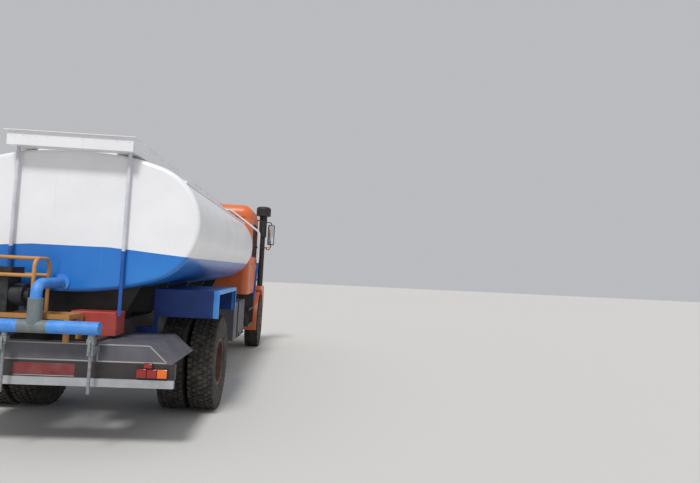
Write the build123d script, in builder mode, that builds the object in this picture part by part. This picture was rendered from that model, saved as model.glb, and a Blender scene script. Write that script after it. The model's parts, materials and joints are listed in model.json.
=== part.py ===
"""Water tanker truck: two axles, bonneted cab, oval tank with an open spill tray on top."""

from build123d import *
from math import atan2, cos, degrees, hypot, pi, radians, sin, sqrt
import os

os.makedirs("parts", exist_ok=True)

# Axes: front towards -Y, rear towards +Y, the truck's right side at -X, ground at Z = 0

# Driving dimensions of the whole truck, in millimetres
overall_length = 8320
front_overhang = 1000
rear_overhang = 1920
bonnet_length = 1150
cab_length = 1490
cab_to_tank = 260
tank_tail = 510
body_width = 2560
fit_gap = 0.3
moving_gap = 6

front_end = -overall_length / 2
rear_end = overall_length / 2
front_axle_y = front_end + front_overhang
rear_axle_y = rear_end - rear_overhang
cab_front = front_end + bonnet_length
cab_rear = cab_front + cab_length

# Wheels
tyre_radius = 545
tyre_width = 280
bead_radius = 254
bead_inset = 42
bead_rise = 45
widest_rise = 125
sidewall_inset = 14
shoulder_inset = 8
shoulder_drop = 34
tread_inset = 20
rim_wall = 9
flange_height = 19
flange_edge = 10
twin_spacing = 325
front_wheel_x = 1095
rear_outer_x = 1102
rear_inner_x = rear_outer_x - twin_spacing
disc_plate = 12
stud_circle = 335
stud_count = 10
stud_radius = 16
stud_length = 40
disc_bore = 140
drum_radius = 192
drum_wall = 15
kingpin_x = 880
kingpin_radius = 22
spindle_radius = 45
axle_end_radius = 60
pin_gap = 0.05

# Chassis
frame_width = 850
rail_height = 250
rail_flange = 75
rail_wall = 8
frame_top = 985
frame_front = front_end + 180
frame_rear = rear_end - 250
frame_bottom = frame_top - rail_height

# Tank
tank_width = 2360
tank_height = 1350
tank_side_radius = 580
tank_wall = 6
tank_bottom = 1369
tank_rear = rear_end - tank_tail
tank_front = cab_rear + cab_to_tank
tank_length = tank_rear - tank_front
tank_mid_z = tank_bottom + tank_height / 2
head_radius = 45

# Spill tray on top of the tank
tray_width = 1120
tray_top = 2822
tray_drop = 135
tray_overhang = 150
tray_sheet = 6
tray_lip = 24

# Cab
cab_width = 2200
cab_floor = 1165
gutter_z = 2630
roof_rise = 235
cab_wall = 40
scuttle_z = 1905
screen_slope = 190
waist_z = 1850

# How a box or cylinder sits on its place: standing on it, or hanging below it
standing = (Align.CENTER, Align.CENTER, Align.MIN)
hanging = (Align.CENTER, Align.CENTER, Align.MAX)
rearwards = (Align.CENTER, Align.MIN, Align.MIN)
forwards = (Align.CENTER, Align.MAX, Align.MIN)


def save(name, solid):
    """Label one finished sub-part and write its file."""
    solid.label = name
    export_step(solid, f"parts/{name}.step")


def oval(inset=0):
    """Four-arc oval of the tank's section in the XZ plane, centred on the tank's axis."""
    half_w = tank_width / 2 - inset
    half_h = tank_height / 2 - inset
    side_r = tank_side_radius - inset
    crown_r = (half_w**2 + half_h**2 - 2 * half_w * side_r) / (2 * (half_h - side_r))
    side_x = half_w - side_r
    crown_z = crown_r - half_h
    turn = atan2(crown_z, side_x)
    join_x = side_x + side_r * cos(turn)
    join_z = side_r * sin(turn)
    with BuildLine() as outline:
        ThreePointArc((-join_x, join_z), (0, half_h), (join_x, join_z))
        ThreePointArc((join_x, join_z), (half_w, 0), (join_x, -join_z))
        ThreePointArc((join_x, -join_z), (0, -half_h), (-join_x, -join_z))
        ThreePointArc((-join_x, -join_z), (-half_w, 0), (-join_x, join_z))
    return outline.line


def oval_height(x, outset=0):
    """Height above the tank's axis of the oval's upper half at the sideways place x."""
    half_w = tank_width / 2 + outset
    half_h = tank_height / 2 + outset
    side_r = tank_side_radius + outset
    crown_r = (half_w**2 + half_h**2 - 2 * half_w * side_r) / (2 * (half_h - side_r))
    side_x = half_w - side_r
    join_x = side_x + side_r * cos(atan2(crown_r - half_h, side_x))
    if abs(x) <= join_x:
        return sqrt(crown_r**2 - x**2) - (crown_r - half_h)
    return sqrt(max(side_r**2 - (abs(x) - side_x) ** 2, 0))


def tyre(name, x_places, axle_y):
    """Radial truck tyres on one wheel, each centred at one of the sideways places."""
    half = tyre_width / 2
    with BuildPart() as tyres:
        for x in x_places:
            bead = axle_y + bead_radius
            crown = axle_y + tyre_radius
            with BuildSketch(Plane.XY.offset(tyre_radius)):
                with BuildLine():
                    Line((x, bead), (x + half - bead_inset, bead))
                    Line((x + half - bead_inset, bead), (x + half - sidewall_inset, bead + bead_rise))
                    ThreePointArc(
                        (x + half - sidewall_inset, bead + bead_rise),
                        (x + half, bead + widest_rise),
                        (x + half - shoulder_inset, crown - shoulder_drop),
                    )
                    Line((x + half - shoulder_inset, crown - shoulder_drop), (x + half - tread_inset, crown))
                    Line((x + half - tread_inset, crown), (x, crown))
                    mirror(about=Plane.YZ.offset(x))
                make_face()
            revolve(axis=Axis((0, axle_y, tyre_radius), (1, 0, 0)))
    save(name, tyres.part)
    return tyres.part


def wheel(name, centre_x, axle_y, outlines, stud_face):
    """Steel wheel and hub turned about the axle; outlines list (outboard, radius) from its centre."""
    side = 1 if centre_x > 0 else -1
    with BuildPart() as turned:
        for outline in outlines:
            with BuildSketch(Plane.XY.offset(tyre_radius)):
                with BuildLine():
                    Polyline([(centre_x + side * u, axle_y + r) for u, r in outline], close=True)
                make_face()
            revolve(axis=Axis((0, axle_y, tyre_radius), (1, 0, 0)))
        stud_plane = Plane(
            origin=(centre_x + side * stud_face, axle_y, tyre_radius),
            x_dir=(0, 1, 0),
            z_dir=(side, 0, 0),
        )
        with Locations(stud_plane):
            half_pitch = 180 / stud_count
            with PolarLocations(stud_circle / 2, stud_count, start_angle=0 if side > 0 else half_pitch):
                Cylinder(stud_radius, stud_length, align=standing)
    save(name, turned.part)


def rim_band(centre):
    """Rim section: a flat well whose flanges lean outwards beside the tyre's beads."""
    foot = tyre_width / 2 - bead_inset + fit_gap
    lean = flange_height * (bead_inset - sidewall_inset) / bead_rise
    top = bead_radius - fit_gap
    inner = top - rim_wall
    return [
        (centre - foot - lean - flange_edge, top + flange_height),
        (centre - foot - lean, top + flange_height),
        (centre - foot, top),
        (centre + foot, top),
        (centre + foot + lean, top + flange_height),
        (centre + foot + lean + flange_edge, top + flange_height),
        (centre + foot + lean + flange_edge, inner),
        (centre - foot - lean - flange_edge, inner),
    ]


# Front wheels: the disc bulges outwards round the hub, which carries the brake drum
disc_foot = bead_radius - fit_gap - rim_wall
front_face = 112
disc_start = 20
disc_slant = 16
disc_shoulder = 34
hub_step = 20
hub_rise = 24
hub_nose_radius = 92
hub_cap_depth = 50
hub_neck_radius = 75
seal_inset = 20
drum_floor = 40
front_disc = [
    (disc_start, disc_foot),
    (disc_start + disc_slant, disc_foot),
    (front_face, stud_circle / 2 + disc_shoulder),
    (front_face, disc_bore),
    (front_face - disc_plate, disc_bore),
    (front_face - disc_plate, stud_circle / 2 + disc_shoulder - 6),
]
hub_end = front_face + 40
drum_open = -110
front_hub = [
    (drum_open, drum_radius),
    (front_face - disc_plate, drum_radius),
    (front_face - disc_plate, disc_bore - hub_step),
    (front_face + hub_rise, disc_bore - hub_step - disc_plate),
    (hub_end, hub_nose_radius),
    (hub_end, 0),
    (hub_end - hub_cap_depth, 0),
    (hub_end - hub_cap_depth, spindle_radius + pin_gap),
    (drum_open + seal_inset, spindle_radius + pin_gap),
    (drum_open + seal_inset, hub_neck_radius),
    (front_face - drum_floor, hub_neck_radius),
    (front_face - drum_floor, drum_radius - drum_wall),
    (drum_open, drum_radius - drum_wall),
]

# Rear twin wheels: both discs are bolted face to face on one hub, half way between the tyres
mate = -twin_spacing / 2
outer_disc = [
    (-disc_start, disc_foot),
    (-disc_start - disc_slant, disc_foot),
    (mate, stud_circle / 2 + disc_shoulder + 2),
    (mate, disc_bore),
    (mate + disc_plate, disc_bore),
    (mate + disc_plate, stud_circle / 2 + disc_shoulder - 7),
]
inner_disc = [(2 * mate - u, r) for u, r in outer_disc]
rear_drum_open = mate - 238
rear_seal_inset = 70
rear_drum_floor = 30
axle_flange = -12
rear_hub = [
    (rear_drum_open, drum_radius),
    (mate - disc_plate, drum_radius),
    (mate - disc_plate, disc_bore - 22),
    (axle_flange - 14, disc_bore - 22),
    (axle_flange, disc_bore - 36),
    (axle_flange, 0),
    (axle_flange - hub_cap_depth, 0),
    (axle_flange - hub_cap_depth, axle_end_radius + pin_gap),
    (rear_drum_open + rear_seal_inset, axle_end_radius + pin_gap),
    (rear_drum_open + rear_seal_inset, hub_nose_radius),
    (mate - rear_drum_floor, hub_nose_radius),
    (mate - rear_drum_floor, drum_radius - drum_wall),
    (rear_drum_open, drum_radius - drum_wall),
]

for side_name, side in (("left", 1), ("right", -1)):
    tyre(f"front_tyre_{side_name}", [side * front_wheel_x], front_axle_y)
    tyre(f"rear_tyres_{side_name}", [side * rear_outer_x, side * rear_inner_x], rear_axle_y)
    wheel(
        f"front_wheel_{side_name}",
        side * front_wheel_x,
        front_axle_y,
        [rim_band(0), front_disc, front_hub],
        front_face,
    )
    wheel(
        f"rear_wheels_{side_name}",
        side * rear_outer_x,
        rear_axle_y,
        [rim_band(0), rim_band(2 * mate), outer_disc, inner_disc, rear_hub],
        mate + disc_plate,
    )

# Steering knuckles: two ears on the kingpin, a backing plate and the wheel's spindle
ear_height = 44
boss_height = 120
ear_gap = 1
ear_radius = 46
ear_reach = 76
web_place = 56
ear_width = 80
web_plate = 24
web_width = 110
boot_start = 20
boot_wall = 16
boot_overlap = 14
shield_gap = 4
shield_plate = 8
shield_place = 10
fork_top = tyre_radius + boss_height / 2 + ear_gap + ear_height
arm_length = 220
arm_z = tyre_radius - 75
rod_radius = 18
joint_radius = 16
arm_half = 14
arm_width = 36
arm_eye_radius = 30
rod_end_wall = 8

for side_name, side in (("left", 1), ("right", -1)):
    ear_z = boss_height / 2 + ear_gap + ear_height / 2
    web_inner = kingpin_x + web_place
    spindle_end = front_wheel_x + hub_end - hub_cap_depth - moving_gap
    with BuildPart() as knuckle:
        for z in (tyre_radius + ear_z, tyre_radius - ear_z):
            with Locations((side * kingpin_x, front_axle_y, z)):
                Cylinder(ear_radius, ear_height)
            with Locations((side * (kingpin_x + ear_reach / 2), front_axle_y, z)):
                Box(ear_reach, ear_width, ear_height)
        with Locations((side * (web_inner + web_plate / 2), front_axle_y, tyre_radius)):
            Box(web_plate, web_width, 2 * (fork_top - tyre_radius))
        with BuildSketch(Plane.YZ.offset(side * (web_inner + boot_start))):
            with Locations((front_axle_y, tyre_radius)):
                Circle(spindle_radius + boot_wall)
        extrude(amount=side * (front_wheel_x + drum_open - web_inner - boot_start + boot_overlap))
        with BuildSketch(Plane.YZ.offset(side * web_inner)):
            with Locations((front_axle_y, tyre_radius)):
                Circle(spindle_radius)
        extrude(amount=side * (spindle_end - web_inner))
        with BuildSketch(Plane.YZ.offset(side * (front_wheel_x + drum_open - shield_place))):
            with Locations((front_axle_y, tyre_radius)):
                Circle(drum_radius - drum_wall - shield_gap)
        extrude(amount=side * shield_plate)
        with BuildSketch(Plane.XY.offset(arm_z - arm_half)):
            with Locations((side * kingpin_x, front_axle_y + arm_length / 2)):
                Rectangle(arm_width, arm_length)
            with Locations((side * kingpin_x, front_axle_y + arm_length)):
                Circle(arm_eye_radius)
        extrude(amount=2 * arm_half)
        with Locations((side * kingpin_x, front_axle_y, tyre_radius)):
            Cylinder(kingpin_radius + pin_gap, 3 * boss_height, mode=Mode.SUBTRACT)
        with Locations((side * kingpin_x, front_axle_y + arm_length, arm_z)):
            Cylinder(joint_radius + pin_gap, 4 * arm_half, mode=Mode.SUBTRACT)
    save(f"knuckle_{side_name}", knuckle.part)

# Tie rod behind the front axle, under the steering arms, with a pin up into each arm
rod_end_x = kingpin_x
rod_y = front_axle_y + arm_length
rod_z = arm_z - arm_half - moving_gap - rod_radius
with BuildPart() as tie_rod:
    with BuildSketch(Plane.YZ.offset(-rod_end_x)):
        with Locations((rod_y, rod_z)):
            Circle(rod_radius)
    extrude(amount=2 * rod_end_x)
    for x in (-rod_end_x, rod_end_x):
        with Locations((x, rod_y, rod_z)):
            Cylinder(rod_radius + rod_end_wall, 2 * rod_radius)
        with Locations((x, rod_y, rod_z)):
            Cylinder(joint_radius, arm_z + arm_half - rod_z, align=standing)
save("tie_rod", tie_rod.part)

# Front axle: a forged beam that drops between the springs, with a boss and kingpin at each end
spring_x = frame_width / 2 + 50
forging_half = 42
beam_drop = 95
beam_below = 40
beam_above = 45
seat_reach = 90
boss_radius = 50
with BuildPart() as front_axle:
    with BuildSketch(Plane.XZ.offset(-front_axle_y + forging_half)):
        with BuildLine():
            Polyline(
                (-kingpin_x, tyre_radius - beam_below),
                (-spring_x - seat_reach, tyre_radius - beam_below - beam_drop),
                (spring_x + seat_reach, tyre_radius - beam_below - beam_drop),
                (kingpin_x, tyre_radius - beam_below),
                (kingpin_x, tyre_radius + beam_above),
                (spring_x + seat_reach - 20, tyre_radius + beam_below + beam_above - beam_drop),
                (-spring_x - seat_reach + 20, tyre_radius + beam_below + beam_above - beam_drop),
                (-kingpin_x, tyre_radius + 45),
                close=True,
            )
        make_face()
    extrude(amount=-2 * forging_half)
    for x in (-kingpin_x, kingpin_x):
        with Locations((x, front_axle_y, tyre_radius)):
            Cylinder(boss_radius, boss_height)
            Cylinder(kingpin_radius, 2 * (fork_top - tyre_radius))
save("front_axle", front_axle.part)

# Rear axle: a tube with the round drive housing in the middle and an end for each hub
tube_radius = 82
housing_radius = 225
nose_start = 40
nose_reach = 70
nose_radius = 95
flange_overlap = 12
hub_seat_end = rear_outer_x + axle_flange - hub_cap_depth - moving_gap
with BuildPart() as rear_axle:
    with BuildSketch(Plane.YZ.offset(-rear_outer_x - rear_drum_open + flange_overlap)):
        with Locations((rear_axle_y, tyre_radius)):
            Circle(tube_radius)
    extrude(amount=2 * (rear_outer_x + rear_drum_open - flange_overlap))
    with BuildSketch(Plane.YZ.offset(-hub_seat_end)):
        with Locations((rear_axle_y, tyre_radius)):
            Circle(axle_end_radius)
    extrude(amount=2 * hub_seat_end)
    with Locations((0, rear_axle_y, tyre_radius)):
        Sphere(housing_radius)
    with BuildSketch(Plane.XZ.offset(-rear_axle_y + housing_radius - nose_start)):
        with Locations((0, tyre_radius)):
            Circle(nose_radius)
    extrude(amount=nose_start + nose_reach)
    for x in (-rear_outer_x - rear_drum_open + 3, rear_outer_x + rear_drum_open - 3):
        with BuildSketch(Plane.YZ.offset(x - shield_plate / 2)):
            with Locations((rear_axle_y, tyre_radius)):
                Circle(drum_radius - drum_wall - shield_gap)
        extrude(amount=shield_plate)
save("rear_axle", rear_axle.part)

# Chassis: two channel rails with their flanges inwards, joined by cross-members
rail_x = frame_width / 2
member_depth = 60
member_inset = 60
spring_bay = 780
member_places = [
    frame_front + 60,
    cab_rear - 200,
    tank_front + 1500,
    rear_axle_y - spring_bay,
    rear_axle_y + spring_bay,
    frame_rear - 40,
]
with BuildPart() as chassis_frame:
    with BuildSketch(Plane.XZ.offset(-frame_rear)):
        with Locations((0, frame_bottom + rail_height / 2)):
            Rectangle(frame_width, rail_height)
            Rectangle(frame_width - 2 * rail_wall, rail_height - 2 * rail_wall, mode=Mode.SUBTRACT)
            Rectangle(frame_width - 2 * rail_flange, rail_height, mode=Mode.SUBTRACT)
    extrude(amount=frame_rear - frame_front)
    for y in member_places:
        with Locations((0, y, frame_bottom + rail_height / 2)):
            Box(frame_width - 2 * rail_wall, member_depth, rail_height - 2 * rail_wall - member_inset)
save("chassis_frame", chassis_frame.part)

# Leaf springs: stacked leaves of falling length, eyes in brackets on the rails, a seat on each axle
leaf_width = 76
leaf_thickness = 15
spring_half = 700
eye_radius = 30
leaf_rise = 14
clamp_margin = 8
clamp_length = 130
clamp_height = 30
bracket_above = 70
bracket_lap = 120
bracket_width = 100
bracket_length = 70
bracket_wall = 12
front_seat_z = tyre_radius + 85 - beam_drop
rear_seat_z = tyre_radius + tube_radius
spring_table = [
    # axle_y, seat_z, rise of the eyes, number of leaves
    (front_axle_y, front_seat_z, 70, 5),
    (rear_axle_y, rear_seat_z, 80, 8),
]
with BuildPart() as leaf_springs:
    for axle_y, seat_z, rise, leaves in spring_table:
        bend = (spring_half**2 + rise**2) / (2 * rise)
        top_z = seat_z + leaf_rise + leaves * leaf_thickness
        for side in (1, -1):
            for leaf in range(leaves):
                inner = bend + leaf * leaf_thickness
                outer = inner + leaf_thickness
                half_turn = (spring_half * (1 - leaf / (leaves + 1))) / bend
                with BuildSketch(Plane.YZ.offset(side * spring_x - leaf_width / 2)):
                    with BuildLine():
                        c, d = cos(half_turn), sin(half_turn)
                        mid = top_z + bend
                        ThreePointArc(
                            (axle_y - inner * d, mid - inner * c),
                            (axle_y, mid - inner),
                            (axle_y + inner * d, mid - inner * c),
                        )
                        Line((axle_y + inner * d, mid - inner * c), (axle_y + outer * d, mid - outer * c))
                        ThreePointArc(
                            (axle_y + outer * d, mid - outer * c),
                            (axle_y, mid - outer),
                            (axle_y - outer * d, mid - outer * c),
                        )
                        Line((axle_y - outer * d, mid - outer * c), (axle_y - inner * d, mid - inner * c))
                    make_face()
                extrude(amount=leaf_width)
            with Locations((side * spring_x, axle_y, seat_z)):
                Box(leaf_width + clamp_margin, clamp_length, clamp_height, align=standing)
            eye_z = top_z + rise
            for end in (-1, 1):
                eye_y = axle_y + end * spring_half
                bracket_top = max(eye_z + bracket_above, frame_bottom + bracket_lap)
                bracket_base = eye_z - eye_radius - bracket_wall
                with Locations((side * (rail_x + bracket_width / 2), eye_y, bracket_base)):
                    Box(bracket_width, bracket_length, bracket_top - bracket_base, align=standing)
save("leaf_springs", leaf_springs.part)

# Engine and gearbox as one plain block, with the radiator ahead of it
engine_half = 320
engine_front = front_end + 330
engine_rear = cab_front - 60
engine_base = 620
engine_top = 1560
gearbox_half = 200
gearbox_rear = cab_front + 820
with BuildPart() as engine_block:
    with Locations((0, (engine_front + engine_rear) / 2, engine_base)):
        Box(2 * engine_half, engine_rear - engine_front, engine_top - engine_base,
            align=standing)
    with Locations((0, engine_rear, engine_base - 10)):
        Box(2 * gearbox_half, gearbox_rear - engine_rear, 430, align=rearwards)
save("engine_block", engine_block.part)

# Propshaft from the gearbox to the drive housing, with a flange at each end
shaft_radius = 55
shaft_flange = 80
flange_thickness = 24
nose_y = rear_axle_y - housing_radius - 70
shaft_start = Vector(0, gearbox_rear + fit_gap, engine_base + 110)
shaft_end = Vector(0, nose_y - fit_gap, tyre_radius)
with BuildPart() as propshaft:
    shaft = shaft_end - shaft_start
    with BuildSketch(Plane(origin=shaft_start + Vector(0, flange_thickness / 2, 0), z_dir=shaft)):
        Circle(shaft_radius)
    extrude(amount=shaft.length - flange_thickness)
    for end, shift in ((shaft_start, flange_thickness), (shaft_end, 0)):
        with BuildSketch(Plane.XZ.offset(-end.Y - shift)):
            with Locations((0, end.Z)):
                Circle(shaft_flange)
        extrude(amount=flange_thickness)
save("propshaft", propshaft.part)

# Fuel tank on the left rail, on two straps
side_gear_front = tank_front + 260
side_gear_rear = side_gear_front + 1230
side_gear_top = 1110
side_gear_bottom = 520
side_gear_outer = 1120
side_gear_inner = rail_x + 60
strap_wall = 10
strap_width = 50
strap_inset = 200
tank_corner = 90
hanger_height = 160
hanger_plate = 30
hanger_lap = 20
filler_radius = 45
filler_rise = 40
filler_aside = 120
filler_behind = 100
gear_width = side_gear_outer - side_gear_inner
gear_x = (side_gear_outer + side_gear_inner) / 2
gear_height = side_gear_top - side_gear_bottom
gear_mid_z = (side_gear_top + side_gear_bottom) / 2
with BuildPart() as fuel_tank:
    with BuildSketch(Plane.XZ.offset(-side_gear_rear)):
        with Locations((gear_x, gear_mid_z)):
            RectangleRounded(gear_width - 2 * strap_wall, gear_height - 2 * strap_wall, tank_corner)
    extrude(amount=side_gear_rear - side_gear_front)
    for y in (side_gear_front + strap_inset, side_gear_rear - strap_inset - strap_width):
        with BuildSketch(Plane.XZ.offset(-y - strap_width)):
            with Locations((gear_x, gear_mid_z)):
                RectangleRounded(gear_width, gear_height, tank_corner + strap_wall)
        extrude(amount=strap_width)
        with Locations((rail_x + 5, y, frame_bottom)):
            Box(gear_x - rail_x, strap_width, hanger_height, align=(Align.MIN, Align.MIN, Align.MIN))
        with Locations((rail_x, y, frame_bottom)):
            Box(hanger_plate, strap_width, hanger_height, align=(Align.MIN, Align.MIN, Align.MIN))
    with Locations((gear_x + filler_aside, side_gear_front + filler_behind, side_gear_top - strap_wall)):
        Cylinder(filler_radius, filler_rise, align=standing)
save("fuel_tank", fuel_tank.part)

# Right side: an open-sided tool locker with a drop door and a closed battery box, on the right rail
locker_wall = 25
locker_rear = side_gear_front + 780
battery_front = locker_rear + 50
drop_pin_radius = 7
drop_barrel = 11
drop_pin_x = -side_gear_outer - drop_barrel - 5
drop_pin_z = side_gear_bottom + locker_wall
drop_hinge_length = 70
drop_ear = 14
drop_leaf = 60
pin_play = 1
drop_hinges = (side_gear_front + 150, locker_rear - 150)
with BuildPart() as side_lockers:
    with Locations((-gear_x, (side_gear_front + locker_rear) / 2, gear_mid_z)):
        Box(gear_width, locker_rear - side_gear_front, gear_height)
    with Locations((-side_gear_outer, (side_gear_front + locker_rear) / 2, gear_mid_z)):
        Box(
            gear_width - locker_wall,
            locker_rear - side_gear_front - 2 * locker_wall,
            gear_height - 2 * locker_wall,
            align=(Align.MIN, Align.CENTER, Align.CENTER),
            mode=Mode.SUBTRACT,
        )
    with Locations((-gear_x, (battery_front + side_gear_rear) / 2, gear_mid_z)):
        Box(gear_width - 30, side_gear_rear - battery_front, gear_height)
    for y in (side_gear_front + 100, locker_rear - 150, battery_front + 100):
        with Locations((-rail_x, y, frame_bottom)):
            hanger_length = side_gear_inner - rail_x + hanger_lap
            Box(hanger_length, strap_width, hanger_height, align=(Align.MAX, Align.MIN, Align.MIN))
    for y in drop_hinges:
        with Locations((drop_pin_x, y, drop_pin_z)):
            Cylinder(drop_pin_radius, drop_hinge_length + 2 * drop_ear, rotation=(90, 0, 0))
        for end in (-1, 1):
            ear_y = y + end * (drop_hinge_length + drop_ear) / 2
            ear_depth = drop_ear - 2 * pin_play
            with Locations((drop_pin_x, ear_y, drop_pin_z)):
                Cylinder(drop_barrel, ear_depth, rotation=(90, 0, 0))
            with Locations((-side_gear_outer, ear_y, drop_pin_z)):
                ear_length = -drop_pin_x - side_gear_outer
                Box(ear_length, ear_depth, drop_barrel, align=(Align.MAX, Align.CENTER, Align.MAX))
save("side_lockers", side_lockers.part)

# Drop door of the tool locker, hinged along its lower edge
with BuildPart() as locker_door:
    with Locations((-side_gear_outer, (side_gear_front + locker_rear) / 2, gear_mid_z)):
        Box(
            locker_wall,
            locker_rear - side_gear_front - 2 * locker_wall - 2 * moving_gap,
            gear_height - 2 * locker_wall - 2 * moving_gap,
            align=(Align.MIN, Align.CENTER, Align.CENTER),
        )
    for y in drop_hinges:
        with Locations((drop_pin_x, y, drop_pin_z)):
            Cylinder(drop_barrel, drop_hinge_length, rotation=(90, 0, 0))
        with Locations((-side_gear_outer, y, drop_pin_z + 3)):
            Box(drop_barrel + 1, drop_hinge_length, drop_leaf, align=(Align.MAX, Align.CENTER, Align.MIN))
        with Locations((drop_pin_x, y, drop_pin_z)):
            bore_length = 2 * drop_hinge_length
            Cylinder(drop_pin_radius + pin_gap, bore_length, rotation=(90, 0, 0), mode=Mode.SUBTRACT)
save("locker_door", locker_door.part)

# Air tanks behind the fuel tank, in straps on the left rail
air_radius = 125
air_start = side_gear_rear + 150
air_length = 700
air_x = rail_x + 55 + air_radius
air_z = frame_bottom + 40
with BuildPart() as air_tank:
    with BuildSketch(Plane.XZ.offset(-air_start - air_length)):
        with Locations((air_x, air_z)):
            Circle(air_radius)
    extrude(amount=air_length)
    fillet(air_tank.edges().filter_by(GeomType.CIRCLE), 40)
    for y in (air_start + 120, air_start + air_length - 170):
        with BuildSketch(Plane.XZ.offset(-y - 50)):
            with Locations((air_x, air_z)):
                Circle(air_radius + 6)
            with Locations((rail_x + 50, air_z)):
                Rectangle(100, 120)
        extrude(amount=50)
save("air_tank", air_tank.part)

# Silencer under the right side of the cab, with its tail pipe turned out to the side
silencer_radius = 120
silencer_start = cab_front + 720
silencer_length = 850
silencer_x = -(rail_x + 60 + silencer_radius)
silencer_z = frame_bottom - 40
with BuildPart() as silencer:
    with BuildSketch(Plane.XZ.offset(-silencer_start - silencer_length)):
        with Locations((silencer_x, silencer_z)):
            Circle(silencer_radius)
    extrude(amount=silencer_length)
    fillet(silencer.edges().filter_by(GeomType.CIRCLE), 30)
    for y in (silencer_start + 120, silencer_start + silencer_length - 170):
        with BuildSketch(Plane.XZ.offset(-y - 50)):
            with Locations((silencer_x, silencer_z)):
                Circle(silencer_radius + 6)
            with Locations((-rail_x - 50, silencer_z + 60)):
                Rectangle(100, 90)
        extrude(amount=50)
    with BuildSketch(Plane.YZ.offset(silencer_x - silencer_radius + 30)):
        with Locations((silencer_start + silencer_length - 60, silencer_z)):
            Circle(45)
    extrude(amount=-330)
save("silencer", silencer.part)

# Tank shell: an oval tube with rounded ends, hollow, with a manhole through its top
manhole_y = (tank_front + tank_rear) / 2
manhole_radius = 255
with BuildPart() as tank_inside:
    with BuildSketch(Plane.XZ.offset(-tank_rear + tank_wall)):
        with Locations((0, tank_mid_z)):
            add(make_face(oval(tank_wall), mode=Mode.PRIVATE))
    extrude(amount=tank_length - 2 * tank_wall)
    ends = tank_inside.edges().group_by(Axis.Y)
    fillet(ends[0] + ends[-1], head_radius - tank_wall)
with BuildPart() as tank_shell:
    with BuildSketch(Plane.XZ.offset(-tank_rear)):
        with Locations((0, tank_mid_z)):
            add(make_face(oval(), mode=Mode.PRIVATE))
    extrude(amount=tank_length)
    ends = tank_shell.edges().group_by(Axis.Y)
    fillet(ends[0] + ends[-1], head_radius)
    add(tank_inside.part, mode=Mode.SUBTRACT)
    with Locations((0, manhole_y, tank_mid_z)):
        Cylinder(manhole_radius, tank_height, align=standing, mode=Mode.SUBTRACT)
save("tank_shell", tank_shell.part)

# Drip strips along both shoulders of the tank
strip_x = 1000
strip_width = 26
strip_depth = 40
strip_rise = oval_height(strip_x)
with BuildPart() as drip_strips:
    for side in (1, -1):
        with Locations((side * strip_x, (tank_front + tank_rear) / 2, tank_mid_z + strip_rise)):
            Box(strip_depth, tank_length - 2 * head_radius, strip_width)
    with BuildSketch(Plane.XZ.offset(-tank_rear - 10), mode=Mode.PRIVATE) as tank_room:
        with Locations((0, tank_mid_z)):
            add(make_face(oval(-fit_gap), mode=Mode.PRIVATE))
    extrude(tank_room.sketch, amount=tank_length + 20, mode=Mode.SUBTRACT)
save("drip_strips", drip_strips.part)

# Tank bearers: two sills along the rails and cross saddles cut to the tank's belly
sill_width = 80
sill_height = 110
saddle_half = 590
saddle_depth = 60
saddle_count = 5
saddle_top = tank_bottom + 230
saddle_pitch = (tank_length - 500) / (saddle_count - 1)
saddle_places = [tank_front + 250 + i * saddle_pitch for i in range(saddle_count)]
with BuildPart() as tank_bearers:
    for side in (1, -1):
        with Locations((side * (rail_x - sill_width / 2), (tank_front + tank_rear) / 2, frame_top)):
            Box(sill_width, tank_length - 440, sill_height, align=standing)
    for y in saddle_places:
        with BuildSketch(Plane.XZ.offset(-y - saddle_depth / 2)):
            with BuildLine():
                Polyline(
                    (0, frame_top + sill_height),
                    (rail_x, frame_top + sill_height),
                    (saddle_half, tank_bottom + 60),
                    (saddle_half, saddle_top),
                    (0, saddle_top),
                )
                mirror(about=Plane.YZ)
            make_face()
            with Locations((0, tank_mid_z)):
                add(make_face(oval(-fit_gap), mode=Mode.PRIVATE), mode=Mode.SUBTRACT)
        extrude(amount=saddle_depth)
save("tank_bearers", tank_bearers.part)

# Spill tray: boards round the tank's crown, overhanging the rear head on a floor plate
tray_rear = tank_rear + tray_overhang
tray_front = tank_front - tray_overhang
tray_floor = tray_top - tray_drop
with BuildPart() as spill_tray:
    with Locations((0, (tray_front + tray_rear) / 2, tray_floor)):
        Box(tray_width, tray_rear - tray_front, tray_drop, align=standing)
    with Locations((0, (tray_front + tray_rear) / 2, tray_floor + tray_sheet)):
        Box(
            tray_width - 2 * tray_sheet,
            tray_rear - tray_front - 2 * tray_sheet,
            tray_drop,
            align=standing,
            mode=Mode.SUBTRACT,
        )
    with BuildSketch(Plane.XY.offset(tray_top - tray_sheet)):
        with Locations((0, (tray_front + tray_rear) / 2)):
            Rectangle(tray_width + 2 * tray_lip, tray_rear - tray_front + 2 * tray_lip)
            Rectangle(tray_width, tray_rear - tray_front, mode=Mode.SUBTRACT)
    extrude(amount=tray_sheet)
    with BuildSketch(Plane.XZ.offset(-tank_rear), mode=Mode.PRIVATE) as crown_room:
        with Locations((0, tank_mid_z)):
            add(make_face(oval(-fit_gap), mode=Mode.PRIVATE))
    extrude(crown_room.sketch, amount=tank_length, mode=Mode.SUBTRACT)
save("spill_tray", spill_tray.part)

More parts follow.
